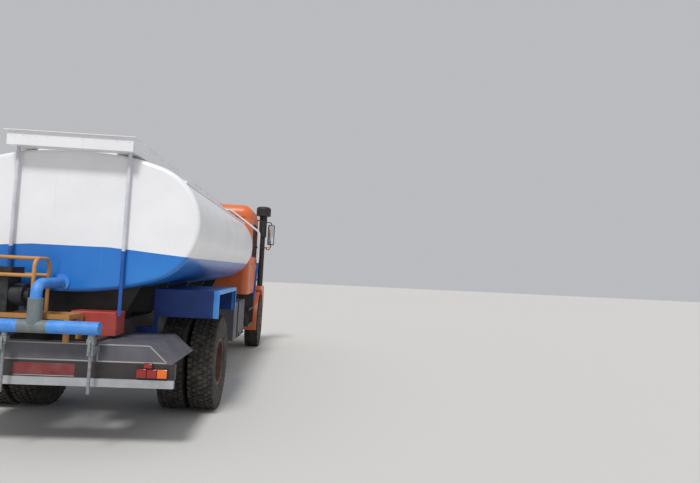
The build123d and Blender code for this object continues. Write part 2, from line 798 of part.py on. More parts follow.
# Manhole collar on the tank's crown, with a hinge post at its front
collar_wall = 10
collar_top = tray_top - 40
crown_z = tank_bottom + tank_height
lid_radius = manhole_radius + collar_wall + 12
lid_thickness = 14
lid_pin_radius = 9
lid_hinge_y = manhole_y - lid_radius - 30
lid_hinge_z = collar_top + 12
lid_barrel_wall = 7
lid_barrel_length = 54
lid_leaf_length = 50
lid_slot_depth = 60
collar_sunk = 80
post_sunk = 20
post_set_back = 4
post_width = 150
post_depth = 26
post_slot = 70
lid_pin_length = 120
grip_inset = 60
grip_width = 120
grip_depth = 16
grip_height = 30
with BuildPart() as manhole_collar:
    with Locations((0, manhole_y, crown_z - collar_sunk)):
        Cylinder(manhole_radius + collar_wall, collar_top - crown_z + collar_sunk, align=standing)
    with Locations((0, lid_hinge_y - post_set_back, crown_z - post_sunk)):
        Box(post_width, post_depth, lid_hinge_z - crown_z + post_sunk, align=standing)
    with Locations((0, lid_hinge_y, lid_hinge_z)):
        Cylinder(lid_pin_radius + lid_barrel_wall, post_width, rotation=(0, 90, 0))
        Box(post_slot, lid_slot_depth, lid_slot_depth, mode=Mode.SUBTRACT)
        Cylinder(lid_pin_radius, lid_pin_length, rotation=(0, 90, 0))
    with BuildSketch(Plane.XZ.offset(-tank_rear), mode=Mode.PRIVATE) as collar_room:
        with Locations((0, tank_mid_z)):
            add(make_face(oval(-fit_gap), mode=Mode.PRIVATE))
    extrude(collar_room.sketch, amount=tank_length, mode=Mode.SUBTRACT)
    with Locations((0, manhole_y, tank_mid_z)):
        Cylinder(manhole_radius, tank_height, align=standing, mode=Mode.SUBTRACT)
save("manhole_collar", manhole_collar.part)

with BuildPart() as manhole_lid:
    with Locations((0, manhole_y, collar_top + fit_gap)):
        Cylinder(lid_radius, lid_thickness, align=standing)
    with Locations((0, lid_hinge_y, lid_hinge_z)):
        Cylinder(lid_pin_radius + lid_barrel_wall, lid_barrel_length, rotation=(0, 90, 0))
    with Locations((0, (lid_hinge_y + manhole_y - lid_radius) / 2 + 8, lid_hinge_z - 3)):
        Box(lid_barrel_length, lid_leaf_length, collar_wall + 2)
    with Locations((0, lid_hinge_y, lid_hinge_z)):
        Cylinder(lid_pin_radius + pin_gap, 2 * post_width, rotation=(0, 90, 0), mode=Mode.SUBTRACT)
    with Locations((0, manhole_y + lid_radius - grip_inset, collar_top + lid_thickness)):
        Box(grip_width, grip_depth, grip_height, align=standing)
save("manhole_lid", manhole_lid.part)

# Drain pipes of the tray: straight down behind the tank, and round its shoulders in front
pipe_radius = 17
rear_pipe_x = 504
rear_pipe_y = tank_rear + 40
rear_pipe_end = 1170
front_pipe_radius = 20
front_pipe_y = tank_front - 80
front_pipe_end = 1095
spout_rise = 40
spout_fall = 10
spout_reach = 180
pipe_bend_above = 290
pipe_bend_below = 190
pipe_bend_radius = 110
pipe_toe_in = 40
front_pipe_x = tank_width / 2 + 100
with BuildPart() as drain_pipes:
    for side in (1, -1):
        with BuildSketch(Plane.XY.offset(rear_pipe_end)):
            with Locations((side * rear_pipe_x, rear_pipe_y)):
                Circle(pipe_radius)
        extrude(amount=tray_floor - rear_pipe_end)
        with BuildLine(Plane.XZ.offset(-front_pipe_y)) as route:
            FilletPolyline(
                (side * (tray_width / 2), tray_floor + spout_rise),
                (side * (tray_width / 2 + spout_reach), tray_floor + spout_rise - spout_fall),
                (side * front_pipe_x, tank_mid_z + pipe_bend_above),
                (side * front_pipe_x, tank_mid_z - pipe_bend_below),
                (side * (front_pipe_x - pipe_toe_in), front_pipe_end),
                radius=pipe_bend_radius,
            )
        with BuildSketch(Plane.YZ.offset(side * tray_width / 2)):
            with Locations((front_pipe_y, tray_floor + spout_rise)):
                Circle(front_pipe_radius)
        sweep(path=route.line)
save("drain_pipes", drain_pipes.part)

# Rear mudguards: a bent sheet over each pair of tyres, on two brackets from the rail
guard_sheet = 6
guard_front = rear_axle_y - 760
guard_rear = rear_axle_y + 650
guard_top = 1400
guard_drop = 295
guard_inner = 600
guard_outer = body_width / 2
guard_flange = 40
flange_sheet = 3
guard_stay = 40
guard_stay_inset = 60
guard_arm_length = 200
guard_arm_height = 60
with BuildPart() as rear_mudguards:
    for side in (1, -1):
        with BuildSketch(Plane.YZ.offset(side * guard_inner)):
            with BuildLine():
                Polyline(
                    (guard_front, guard_top - guard_drop),
                    (guard_front, guard_top),
                    (guard_rear, guard_top),
                    (guard_rear, guard_top - guard_drop),
                    (guard_rear - guard_sheet, guard_top - guard_drop),
                    (guard_rear - guard_sheet, guard_top - guard_sheet),
                    (guard_front + guard_sheet, guard_top - guard_sheet),
                    (guard_front + guard_sheet, guard_top - guard_drop),
                    close=True,
                )
            make_face()
        extrude(amount=side * (guard_outer - guard_inner))
        with BuildSketch(Plane.YZ.offset(side * (guard_outer - flange_sheet))):
            with BuildLine():
                Polyline(
                    (guard_front, guard_top - guard_drop),
                    (guard_front, guard_top),
                    (guard_rear, guard_top),
                    (guard_rear, guard_top - guard_drop),
                    (guard_rear - guard_flange, guard_top - guard_drop),
                    (guard_rear - guard_flange, guard_top - guard_flange),
                    (guard_front + guard_flange, guard_top - guard_flange),
                    (guard_front + guard_flange, guard_top - guard_drop),
                    close=True,
                )
            make_face()
        extrude(amount=side * flange_sheet)
        for y in (guard_front + guard_stay / 2, guard_rear - guard_stay_inset):
            with Locations((side * rail_x, y, frame_top - guard_arm_height)):
                outwards = Align.MIN if side > 0 else Align.MAX
                Box(guard_arm_length, guard_stay, guard_arm_height, align=(outwards, Align.MIN, Align.MIN))
            with Locations((side * (guard_inner + guard_stay / 2), y, frame_top - guard_arm_height)):
                stay_height = guard_top - guard_sheet - frame_top + guard_arm_height
                Box(guard_stay, guard_stay, stay_height, align=rearwards)
save("rear_mudguards", rear_mudguards.part)

# Rear deck: a low sheet box behind the tank with sloping ends, on the frame's tail
deck_rear = rear_end - 190
deck_front = tank_rear - 560
deck_base = 790
deck_top = 955
deck_base_half = 1080
deck_top_half = 890
deck_lap = 20
with BuildPart() as rear_deck:
    for side in (1, -1):
        with BuildSketch(Plane.XZ.offset(-deck_rear)):
            with BuildLine():
                Polyline(
                    (side * (rail_x + fit_gap), deck_base),
                    (side * deck_base_half, deck_base),
                    (side * deck_top_half, deck_top),
                    (side * (rail_x + fit_gap), deck_top),
                    close=True,
                )
            make_face()
        extrude(amount=deck_rear - deck_front)
    with Locations((0, frame_rear + fit_gap, deck_base)):
        tail_length = deck_rear - frame_rear - fit_gap
        Box(2 * (rail_x + deck_lap), tail_length, deck_top - deck_base, align=rearwards)
save("rear_deck", rear_deck.part)

# Rear beams under the deck: a deep dark beam for plate and lamps, and a lower guard rail
beam_y = deck_rear
beam_half = 1105
beam_bottom = 655
guard_rail_bottom = 585
guard_rail_height = 68
guard_rail_depth = 45
guard_rail_ahead = 25
beam_depth = 60
rail_stay_width = 60
rail_stay_depth = 40
rail_stay_height = 150
gusset_plate = 12
gusset_length = 160
gusset_height = 50
with BuildPart() as rear_beams:
    with Locations((0, beam_y, beam_bottom)):
        Box(2 * beam_half, beam_depth, deck_base - beam_bottom, align=forwards)
    with Locations((0, beam_y + guard_rail_ahead, guard_rail_bottom)):
        Box(2 * beam_half, guard_rail_depth, guard_rail_height, align=forwards)
    for side in (1, -1):
        stay_y = beam_y + guard_rail_ahead - guard_rail_depth
        with Locations((side * (rail_x - beam_depth), stay_y, guard_rail_bottom)):
            Box(rail_stay_width, rail_stay_depth, rail_stay_height, align=forwards)
        with Locations((side * (rail_x + gusset_plate / 2), beam_y - beam_depth, frame_bottom)):
            Box(gusset_plate, gusset_length, gusset_height, align=forwards)
save("rear_beams", rear_beams.part)

# Lamps at the back: a long red and amber lamp and a small red marker on each side
lamp_length = 270
lamp_height = 84
lamp_depth = 34
lamp_centre = 915
lamp_rise = 12
marker_length = 80
marker_depth = 30
marker_height = 50
marker_inset = 35
with BuildPart() as tail_lamps:
    for side in (1, -1):
        with Locations((side * lamp_centre, beam_y + fit_gap, beam_bottom + lamp_rise)):
            Box(lamp_length, lamp_depth, lamp_height, align=rearwards)
        marker_z = beam_bottom + lamp_height + lamp_rise
        with Locations((side * (lamp_centre - marker_inset), beam_y + fit_gap, marker_z)):
            Box(marker_length, marker_depth, marker_height, align=rearwards)
save("tail_lamps", tail_lamps.part)

# Water outlet: from the tank's rear head back, down the riser and out along the spray bar
bar_radius = 56
bar_half = 490
bar_y = rear_end - bar_radius
bar_z = 1095
riser_x = 50
riser_radius = 60
outlet_z = 1452
elbow_radius = 90
tap_places = (-430, 280)
tap_drop = 545
nozzle_radius = 14
outlet_radius = 46
outlet_flange = 78
flange_plate = 16
collar_drop = 30
tap_sunk = 10
tap_radius = 22
tap_length = 110
valve_width = 60
valve_height = 46
foot_inset = 60
with BuildPart() as spray_manifold:
    with BuildLine(Plane.YZ.offset(riser_x)) as riser_route:
        FilletPolyline(
            (tank_rear + fit_gap, outlet_z),
            (bar_y, outlet_z),
            (bar_y, bar_z),
            radius=elbow_radius,
        )
    with BuildSketch(Plane.XZ.offset(-tank_rear - fit_gap)):
        with Locations((riser_x, outlet_z)):
            Circle(outlet_radius)
    sweep(path=riser_route.line)
    with BuildSketch(Plane.XZ.offset(-tank_rear - fit_gap - flange_plate)):
        with Locations((riser_x, outlet_z)):
            Circle(outlet_flange)
    extrude(amount=flange_plate)
    with Locations((riser_x, bar_y, bar_z)):
        Cylinder(riser_radius, outlet_z - bar_z - elbow_radius - collar_drop, align=standing)
    with BuildSketch(Plane.YZ.offset(-bar_half)):
        with Locations((bar_y, bar_z)):
            Circle(bar_radius)
    extrude(amount=2 * bar_half)
    for x in tap_places:
        with Locations((x, bar_y, bar_z - bar_radius + tap_sunk)):
            Cylinder(tap_radius, tap_length, align=hanging)
            Cylinder(nozzle_radius, bar_z - tap_drop - bar_radius + tap_sunk, align=hanging)
        with Locations((x, bar_y, bar_z - bar_radius - tap_length / 2)):
            Box(valve_width, valve_width, valve_height)
    for x in (-bar_half + foot_inset, bar_half - foot_inset):
        with Locations((x, bar_y, bar_z - bar_radius + 8)):
            Box(50, 40, bar_z - bar_radius + 8 - deck_top + 60, align=hanging)
        with Locations((x, deck_rear + fit_gap, deck_top - 90)):
            Box(50, bar_y - deck_rear + 20, 70, align=rearwards)
save("spray_manifold", spray_manifold.part)

# Pump set on a bench at the rear left: tube cage, engine inside it
bench_top = 1190
bench_tube = 40
bench_outer = 860
bench_inner = -200
bench_front = tank_rear + 75
bench_rear = rear_end - 130
cage_tube = 16
cage_left = 770
cage_right = 125
cage_front = bench_front + cage_tube
cage_rear = bench_rear - cage_tube
cage_top = 1665
cage_bend = 70
with BuildPart() as pump_frame:
    with BuildSketch(Plane.XY.offset(bench_top - bench_tube)):
        with Locations(((bench_outer + bench_inner) / 2, (bench_front + bench_rear) / 2)):
            Rectangle(bench_outer - bench_inner, bench_rear - bench_front)
            Rectangle(bench_outer - bench_inner - 2 * bench_tube, bench_rear - bench_front - 2 * bench_tube,
                      mode=Mode.SUBTRACT)
        for x in (cage_left, (cage_left + cage_right) / 2, cage_right):
            with Locations((x, (bench_front + bench_rear) / 2)):
                Rectangle(bench_tube, bench_rear - bench_front - bench_tube)
    extrude(amount=bench_tube)
    for x in (bench_outer - bench_tube / 2, bench_inner + bench_tube / 2):
        for y in (bench_front + bench_tube / 2, bench_rear - bench_tube / 2):
            with Locations((x, y, deck_top + fit_gap)):
                Box(bench_tube, bench_tube, bench_top - deck_top - fit_gap,
                    align=standing)
    for x in (cage_left, cage_right):
        with BuildLine(Plane.YZ.offset(x)) as hoop:
            FilletPolyline(
                (cage_front, bench_top - cage_tube / 2),
                (cage_front, cage_top),
                (cage_rear, cage_top),
                (cage_rear, bench_top - cage_tube / 2),
                radius=cage_bend,
            )
        with BuildSketch(Plane.XY.offset(bench_top - cage_tube / 2)):
            with Locations((x, cage_front)):
                Circle(cage_tube)
        sweep(path=hoop.line)
    for y, z in (
        (cage_front + cage_bend, cage_top),
        (cage_rear - cage_bend, cage_top),
        (cage_rear, cage_top - 150),
        (cage_front, cage_top - 150),
    ):
        with BuildSketch(Plane.YZ.offset(cage_right)):
            with Locations((y, z)):
                Circle(cage_tube)
        extrude(amount=cage_left - cage_right)
save("pump_frame", pump_frame.part)

engine_mid_x = (cage_left + cage_right) / 2
engine_mid_y = (cage_front + cage_rear) / 2
with BuildPart() as pump_engine:
    with Locations((engine_mid_x + 60, engine_mid_y, bench_top + fit_gap)):
        Box(320, 210, 300, align=standing)
    with Locations((engine_mid_x + 60, engine_mid_y, bench_top + 300)):
        Box(360, 220, 90, align=standing)
    with BuildSketch(Plane.YZ.offset(engine_mid_x - 100)):
        with Locations((engine_mid_y, bench_top + 150)):
            Circle(100)
    extrude(amount=-110)
    with BuildSketch(Plane.YZ.offset(engine_mid_x - 210)):
        with Locations((engine_mid_y, bench_top + 150)):
            Circle(60)
    extrude(amount=-40)
save("pump_engine", pump_engine.part)

# Red tool box on the deck, right of the pump bench
box_width = 420
box_depth = 250
box_height = 215
with BuildPart() as tool_box:
    with Locations((-275, tank_rear - 80, frame_top + fit_gap)):
        Box(box_width, box_depth, box_height, align=standing)
    fillet(tool_box.edges().filter_by(Axis.Z), 20)
    chamfer(tool_box.faces().sort_by(Axis.Z)[-1].edges(), 10)
save("tool_box", tool_box.part)


def cab_block(inset):
    """Closed block of the cab below its gutter, every side but the top moved in by the inset."""
    top = gutter_z + 2 * inset
    lean = screen_slope / (gutter_z - scuttle_z)
    base = cab_floor + inset
    with BuildPart() as block:
        with BuildSketch(Plane.YZ):
            with BuildLine():
                Polyline(
                    (cab_rear - inset, base),
                    (cab_rear - inset, top),
                    (cab_front + inset + lean * (top - scuttle_z), top),
                    (cab_front + inset, scuttle_z),
                    (cab_front + inset, base),
                    close=True,
                )
            make_face()
        extrude(amount=cab_width, both=True)
        with BuildSketch(Plane.XY.offset(base)):
            with Locations((0, (cab_front + cab_rear) / 2)):
                RectangleRounded(cab_width - 2 * inset, cab_length - 2 * inset, cab_corner - inset)
        extrude(amount=top - base, mode=Mode.INTERSECT)
    return block.part


window_front = 75
window_rear = 60
window_sill = 45
window_head = 55
window_corner = 40


def door_shape(inset):
    """Side outline of a door: upright behind, leaning with the windscreen in front."""
    with BuildSketch(Plane.YZ) as shape:
        with BuildLine():
            Polyline(
                (door_front, door_bottom),
                (door_rear, door_bottom),
                (door_rear, door_top),
                (door_front + door_lean, door_top),
                (door_front, waist_z),
                close=True,
            )
        make_face()
        if inset:
            offset(amount=-inset, kind=Kind.INTERSECTION)
    return shape.sketch


def door_window(x):
    """Outline of the window in a door, in an upright plane at the sideways place x."""
    with BuildSketch(Plane.YZ.offset(x)) as shape:
        with BuildLine():
            Polyline(
                (door_front + window_front, waist_z + window_sill),
                (door_rear - window_rear, waist_z + window_sill),
                (door_rear - window_rear, door_top - window_head),
                (door_front + door_lean + window_corner, door_top - window_head),
                close=True,
            )
        make_face()
        fillet(shape.vertices(), window_corner)
    return shape.sketch


# Cab shell: floor, walls and pillars, cut for doors, windscreen and rear window
cab_corner = 130
door_front = cab_front + 180
door_rear = door_front + 920
door_bottom = cab_floor + 45
door_top = gutter_z - 45
door_lean = screen_slope * 0.8
screen_half = 930
screen_bottom = scuttle_z + 50
screen_top = gutter_z - 50
rear_window_half = 450
rear_window_bottom = 2020
rear_window_top = 2440
door_pin_radius = 8
door_pin_length = 110
door_ear_place = 44
hinge_ear = 18
hinge_ear_radius = 14
hinge_ear_reach = 28
hinge_ear_length = 45
hinge_barrel_radius = 15
hinge_barrel_length = 66
hinge_leaf = 16
hinge_leaf_length = 80
hinge_leaf_height = 60
door_pin_x = cab_width / 2 + 16
door_hinges = (cab_floor + 190, waist_z - 60)
cab_outside = cab_block(0)
cab_inside = cab_block(cab_wall)
with BuildPart() as cab_shell:
    add(cab_outside)
    add(cab_inside, mode=Mode.SUBTRACT)
    extrude(door_shape(0), amount=cab_width, both=True, mode=Mode.SUBTRACT)
    with BuildSketch(Plane.XZ.offset(-cab_front + 10)):
        with Locations((0, (screen_bottom + screen_top) / 2)):
            RectangleRounded(2 * screen_half, screen_top - screen_bottom, 70)
    extrude(amount=-screen_slope - 60, mode=Mode.SUBTRACT)
    with BuildSketch(Plane.XZ.offset(-cab_rear - 10)):
        with Locations((0, (rear_window_bottom + rear_window_top) / 2)):
            RectangleRounded(2 * rear_window_half, rear_window_top - rear_window_bottom, 60)
    extrude(amount=cab_wall + 20, mode=Mode.SUBTRACT)
    for side in (1, -1):
        for z in door_hinges:
            with Locations((side * door_pin_x, door_front, z)):
                Cylinder(door_pin_radius, door_pin_length)
            for ear in (-door_ear_place, door_ear_place):
                with Locations((side * door_pin_x, door_front, z + ear)):
                    Cylinder(hinge_ear_radius, hinge_ear)
                with Locations((side * cab_width / 2, door_front, z + ear)):
                    outwards = Align.MIN if side > 0 else Align.MAX
                    ear_seat = (outwards, Align.MAX, Align.CENTER)
                    Box(hinge_ear_reach, hinge_ear_length, hinge_ear, align=ear_seat)
save("cab_shell", cab_shell.part)

# Cab roof: a pressed dome with a rain gutter round its edge
roof_radius = 180
roof_corner = cab_corner + 60
roof_crown = 60
roof_pad = 30
roof_lap = 20
gutter_width = 18
gutter_depth = 14
roof_front = cab_front + screen_slope
roof_length = cab_rear - roof_front
with BuildPart() as cab_roof:
    with BuildSketch(Plane.XY.offset(gutter_z)):
        with Locations((0, (roof_front + cab_rear) / 2)):
            RectangleRounded(cab_width, roof_length, roof_corner)
    extrude(amount=roof_rise)
    fillet(cab_roof.faces().sort_by(Axis.Z)[-1].edges(), roof_radius)
    with BuildSketch(Plane.XY.offset(gutter_z)):
        with Locations((0, (roof_front + cab_rear) / 2)):
            RectangleRounded(cab_width + 2 * gutter_width, roof_length + 2 * gutter_width, roof_corner)
    extrude(amount=gutter_depth)
    with BuildSketch(Plane.XY.offset(gutter_z)):
        with Locations((0, (roof_front + cab_rear) / 2)):
            inner_width = cab_width - 2 * (cab_wall + roof_pad)
            RectangleRounded(inner_width, roof_length - 2 * cab_wall - roof_lap, cab_corner)
    extrude(amount=roof_rise - roof_crown, mode=Mode.SUBTRACT)
save("cab_roof", cab_roof.part)

# Doors: one thick panel each with its window cut, hung on two outside hinges, and their glass
door_gap = moving_gap
glass_thickness = 6
handle_inset = 150
handle_drop = 110
handle_depth = 30
handle_length = 130
handle_height = 26
glass_inset = 16
for side_name, side in (("left", 1), ("right", -1)):
    outwards = Align.MIN if side > 0 else Align.MAX
    with BuildPart() as door:
        add(cab_outside)
        add(cab_inside, mode=Mode.SUBTRACT)
        extrude(door_shape(door_gap), amount=side * cab_width, mode=Mode.INTERSECT)
        extrude(door_window(0), amount=side * cab_width, mode=Mode.SUBTRACT)
        for z in door_hinges:
            with Locations((side * door_pin_x, door_front, z)):
                Cylinder(hinge_barrel_radius, hinge_barrel_length)
            with Locations((side * cab_width / 2, door_front, z)):
                leaf_seat = (outwards, Align.MIN, Align.CENTER)
                Box(hinge_leaf, hinge_leaf_length, hinge_leaf_height, align=leaf_seat)
            with Locations((side * door_pin_x, door_front, z)):
                Cylinder(door_pin_radius + pin_gap, 2 * hinge_leaf_height, mode=Mode.SUBTRACT)
        with Locations((side * cab_width / 2, door_rear - handle_inset, waist_z - handle_drop)):
            Box(handle_depth, handle_length, handle_height, align=(outwards, Align.CENTER, Align.CENTER))
    save(f"door_{side_name}", door.part)
    with BuildPart() as door_glass:
        extrude(door_window(side * (cab_width / 2 - cab_wall / 2)), amount=side * glass_thickness)
    save(f"door_glass_{side_name}", door_glass.part)

# Fixed glass: the windscreen in its sloping frame and the rear window
with BuildPart() as cab_glass:
    lean = screen_slope / (gutter_z - scuttle_z)
    with BuildSketch(Plane.YZ):
        with BuildLine():
            Polyline(
                (cab_front + glass_inset, scuttle_z),
                (cab_front + glass_inset + screen_slope, gutter_z),
                (cab_front + glass_inset + glass_thickness + screen_slope, gutter_z),
                (cab_front + glass_inset + glass_thickness, scuttle_z),
                close=True,
            )
        make_face()
    extrude(amount=cab_width / 2, both=True)
    with BuildSketch(Plane.XZ.offset(-cab_front + 10)):
        with Locations((0, (screen_bottom + screen_top) / 2)):
            RectangleRounded(2 * screen_half, screen_top - screen_bottom, 70)
    extrude(amount=-screen_slope - 80, mode=Mode.INTERSECT)
    with BuildSketch(Plane.XZ.offset(-cab_rear + cab_wall / 2)):
        with Locations((0, (rear_window_bottom + rear_window_top) / 2)):
            RectangleRounded(2 * rear_window_half, rear_window_top - rear_window_bottom, 60)
    extrude(amount=glass_thickness)
save("cab_glass", cab_glass.part)

# Bonnet: a tunnel of sheet that falls towards the front, hinged along its rear edge
bonnet_rear = cab_front - 12
bonnet_front = front_end + 155
bonnet_base = 1300
bonnet_rear_top = scuttle_z - 18
bonnet_front_top = 1765
bonnet_rear_half = 550
bonnet_front_half = 515
bonnet_radius = 120
bonnet_wall = 22
bonnet_pin_y = cab_front - 10
bonnet_pin_z = bonnet_rear_top + 9
bonnet_pin_radius = 4
bonnet_barrel = 8
bonnet_ear = 5.5
bonnet_ear_place = 46
bonnet_ear_width = 18
bonnet_barrel_length = 60
bonnet_leaf = 7
bonnet_hinges = (-330, 330)


def bonnet_section(y, half, top, inset, base):
    """Arched section of the bonnet in a plane across the truck."""
    with BuildSketch(Plane.XZ.offset(-y)) as section:
        with Locations((0, (top - inset + base) / 2)):
            Rectangle(2 * (half - inset), top - inset - base)
        fillet(section.vertices().group_by(Axis.Y)[-1], bonnet_radius - inset)
    return section.sketch


with BuildPart() as bonnet:
    loft(sections=[
        bonnet_section(bonnet_rear, bonnet_rear_half, bonnet_rear_top, 0, bonnet_base),
        bonnet_section(bonnet_front, bonnet_front_half, bonnet_front_top, 0, bonnet_base),
    ])
    loft(
        sections=[
            bonnet_section(bonnet_rear, bonnet_rear_half, bonnet_rear_top, bonnet_wall, bonnet_base - 1),
            bonnet_section(bonnet_front, bonnet_front_half, bonnet_front_top, bonnet_wall, bonnet_base - 1),
        ],
        mode=Mode.SUBTRACT,
    )
    for x in bonnet_hinges:
        with Locations((x, bonnet_pin_y, bonnet_pin_z)):
            Cylinder(bonnet_barrel, bonnet_barrel_length, rotation=(0, 90, 0))
            Cylinder(bonnet_pin_radius + pin_gap, 80, rotation=(0, 90, 0), mode=Mode.SUBTRACT)
        with Locations((x, bonnet_pin_y - 2, bonnet_rear_top - 4)):
            Box(bonnet_barrel_length, bonnet_barrel_length, bonnet_leaf, align=forwards)
save("bonnet", bonnet.part)

# Pins for the bonnet's hinge, on ears from the scuttle
with BuildPart() as bonnet_hinge:
    for x in bonnet_hinges:
        with Locations((x, bonnet_pin_y, bonnet_pin_z)):
            Cylinder(bonnet_pin_radius, 2 * (bonnet_ear_place + bonnet_ear_width / 2), rotation=(0, 90, 0))
        for ear in (-bonnet_ear_place, bonnet_ear_place):
            with Locations((x + ear, cab_front, bonnet_pin_z)):
                ear_length = cab_front - bonnet_pin_y + bonnet_ear
                ear_seat = (Align.CENTER, Align.MAX, Align.CENTER)
                Box(bonnet_ear_width, ear_length, 2 * bonnet_ear, align=ear_seat)
save("bonnet_hinge", bonnet_hinge.part)

# Front wings: hollow sheet over each front wheel, open towards the engine
wing_inner = 560
wing_fall = 20
guard_start_x = 760
wing_outer = 1215
wing_sheet = 20
wing_rear = cab_front - 5
wing_front = front_end + 160
wing_top = 1290
wing_nose_radius = 150
wing_foot = 760
arch_radius = 670
arch_foot_y = front_axle_y - sqrt(arch_radius**2 - (wing_foot - tyre_radius) ** 2)
arch_rear_z = tyre_radius + sqrt(arch_radius**2 - (wing_rear - front_axle_y) ** 2)
arch_mid = radians(118)
guard_start = radians(-12)
guard_end = atan2(cab_floor - tyre_radius, sqrt((arch_radius + 12) ** 2 - (cab_floor - tyre_radius) ** 2))


def wing_shape(x, inset):
    """Side outline of a front wing: sloping top, rounded nose and the wheel arch."""
    with BuildSketch(Plane.YZ.offset(x)) as shape:
        with BuildLine():
            Line((wing_rear, arch_rear_z), (wing_rear, wing_top))
            Line((wing_rear, wing_top), (wing_front + wing_nose_radius, wing_top - wing_fall))
            ThreePointArc(
                (wing_front + wing_nose_radius, wing_top - wing_fall),
                (
                    wing_front + wing_nose_radius * (1 - sin(pi / 4)),
                    wing_top - wing_fall - wing_nose_radius * (1 - cos(pi / 4)),
                ),
                (wing_front, wing_top - wing_fall - wing_nose_radius),
            )
            Line((wing_front, wing_top - wing_fall - wing_nose_radius), (wing_front, wing_foot))
            Line((wing_front, wing_foot), (arch_foot_y, wing_foot))
            ThreePointArc(
                (arch_foot_y, wing_foot),
                (front_axle_y + arch_radius * cos(arch_mid), tyre_radius + arch_radius * sin(arch_mid)),
                (wing_rear, arch_rear_z),
            )
        make_face()
        if inset:
            offset(amount=-inset, kind=Kind.INTERSECTION)
    return shape.sketch


with BuildPart() as front_wings:
    for side in (1, -1):
        extrude(wing_shape(side * wing_inner, 0), amount=side * (wing_outer - wing_inner))
        extrude(
            wing_shape(side * (wing_inner - 1), wing_sheet),
            amount=side * (wing_outer - wing_sheet - wing_inner + 1),
            mode=Mode.SUBTRACT,
        )
        with BuildSketch(Plane.YZ.offset(side * guard_start_x)):
            with BuildLine():
                small, large = arch_radius, arch_radius + 12
                turn = (guard_start + guard_end) / 2
                first, middle, last = [
                    [(front_axle_y + r * cos(place), tyre_radius + r * sin(place)) for r in (small, large)]
                    for place in (guard_start, turn, guard_end)
                ]
                ThreePointArc(first[0], middle[0], last[0])
                Line(last[0], last[1])
                ThreePointArc(last[1], middle[1], first[1])
                Line(first[1], first[0])
            make_face()
        extrude(amount=side * (wing_outer - guard_start_x))
save("front_wings", front_wings.part)

# Grille: a panel with a lattice of slots between the wings, and its upper part inside the bonnet's mouth
grille_rear = bonnet_front + 10
grille_depth = 30
grille_half = wing_inner - fit_gap
grille_top_half = bonnet_front_half - bonnet_wall - 12
grille_top = bonnet_front_top - bonnet_wall - 12
grille_bottom = 765
slot_rows = 9
slot_columns = 2
slot_width = 400
slot_height = 44
slot_pitch = 82
slot_bar = 40
slot_corner = 20
grille_step = 14
grille_chamfer = 60
foot_rise = 60
foot_width = 60
with BuildPart() as grille:
    with BuildSketch(Plane.XZ.offset(-grille_rear)):
        with BuildLine():
            Polyline(
                (0, grille_bottom),
                (grille_half, grille_bottom),
                (grille_half, bonnet_base - grille_step),
                (grille_top_half, bonnet_base - grille_step),
                (grille_top_half, grille_top - bonnet_radius),
                (grille_top_half - grille_chamfer, grille_top - grille_chamfer / 3),
                (grille_top_half - bonnet_radius, grille_top),
                (0, grille_top),
            )
            mirror(about=Plane.YZ)
        make_face()
        with Locations((0, (grille_bottom + grille_top) / 2)):
            with GridLocations(slot_width + slot_bar, slot_pitch, slot_columns, slot_rows):
                RectangleRounded(slot_width, slot_height, slot_corner, mode=Mode.SUBTRACT)
    extrude(amount=grille_depth)
    for side in (1, -1):
        with Locations((side * rail_x, grille_rear, frame_bottom + foot_rise)):
            inwards = Align.MAX if side > 0 else Align.MIN
            Box(foot_width, frame_front - grille_rear, 2 * foot_rise, align=(inwards, Align.MIN, Align.MIN))
save("grille", grille.part)

# Radiator behind the grille, standing on the frame's front member
radiator_half = 350
radiator_gap = 40
radiator_depth = 70
radiator_height = 620
radiator_foot = 30
radiator_foot_gap = 60
with BuildPart() as radiator:
    with Locations((0, engine_front - radiator_gap, frame_top)):
        Box(2 * radiator_half, radiator_depth, radiator_height, align=forwards)
    with Locations((0, engine_front - radiator_foot_gap, frame_top - radiator_foot)):
        Box(2 * radiator_half, radiator_foot, radiator_foot, align=forwards)
save("radiator", radiator.part)

# Bumper: a bent sheet on two brackets from the rails
bumper_half = 1200
bumper_bottom = 530
bumper_height = 225
bumper_wall = 8
bumper_return = 260
bumper_slant = 90
bumper_corner = 130
bracket_drop = 60
bracket_plate = 40
bracket_height = 90
with BuildPart() as front_bumper:
    with BuildSketch(Plane.XY.offset(bumper_bottom)):
        with BuildLine():
            Polyline(
                (-bumper_half, front_end + bumper_return),
                (-bumper_half, front_end + bumper_slant),
                (-bumper_half + bumper_corner, front_end),
                (bumper_half - bumper_corner, front_end),
                (bumper_half, front_end + bumper_slant),
                (bumper_half, front_end + bumper_return),
            )
            offset(amount=bumper_wall, side=Side.LEFT)
        make_face()
    extrude(amount=bumper_height)
    for side in (1, -1):
        with Locations((side * rail_x, front_end + bumper_wall, frame_bottom - bracket_drop)):
            Box(bracket_plate, frame_front - front_end - bumper_wall, bracket_height,
                align=(Align.MAX if side > 0 else Align.MIN, Align.MIN, Align.MIN))
save("front_bumper", front_bumper.part)

# Headlamps: round housings on the noses of the wings
lamp_x = 890
lamp_z = 985
lamp_radius = 105
lamp_body = 45
bezel_width = 14
lens_rise = 8
with BuildPart() as headlamps:
    for x in (-lamp_x, lamp_x):
        with BuildSketch(Plane.XZ.offset(-wing_front + fit_gap)):
            with Locations((x, lamp_z)):
                Circle(lamp_radius)
        extrude(amount=lamp_body)
        with BuildSketch(Plane.XZ.offset(-wing_front + fit_gap + lamp_body)):
            with Locations((x, lamp_z)):
                Circle(lamp_radius - bezel_width)
        extrude(amount=lens_rise)
save("headlamps", headlamps.part)

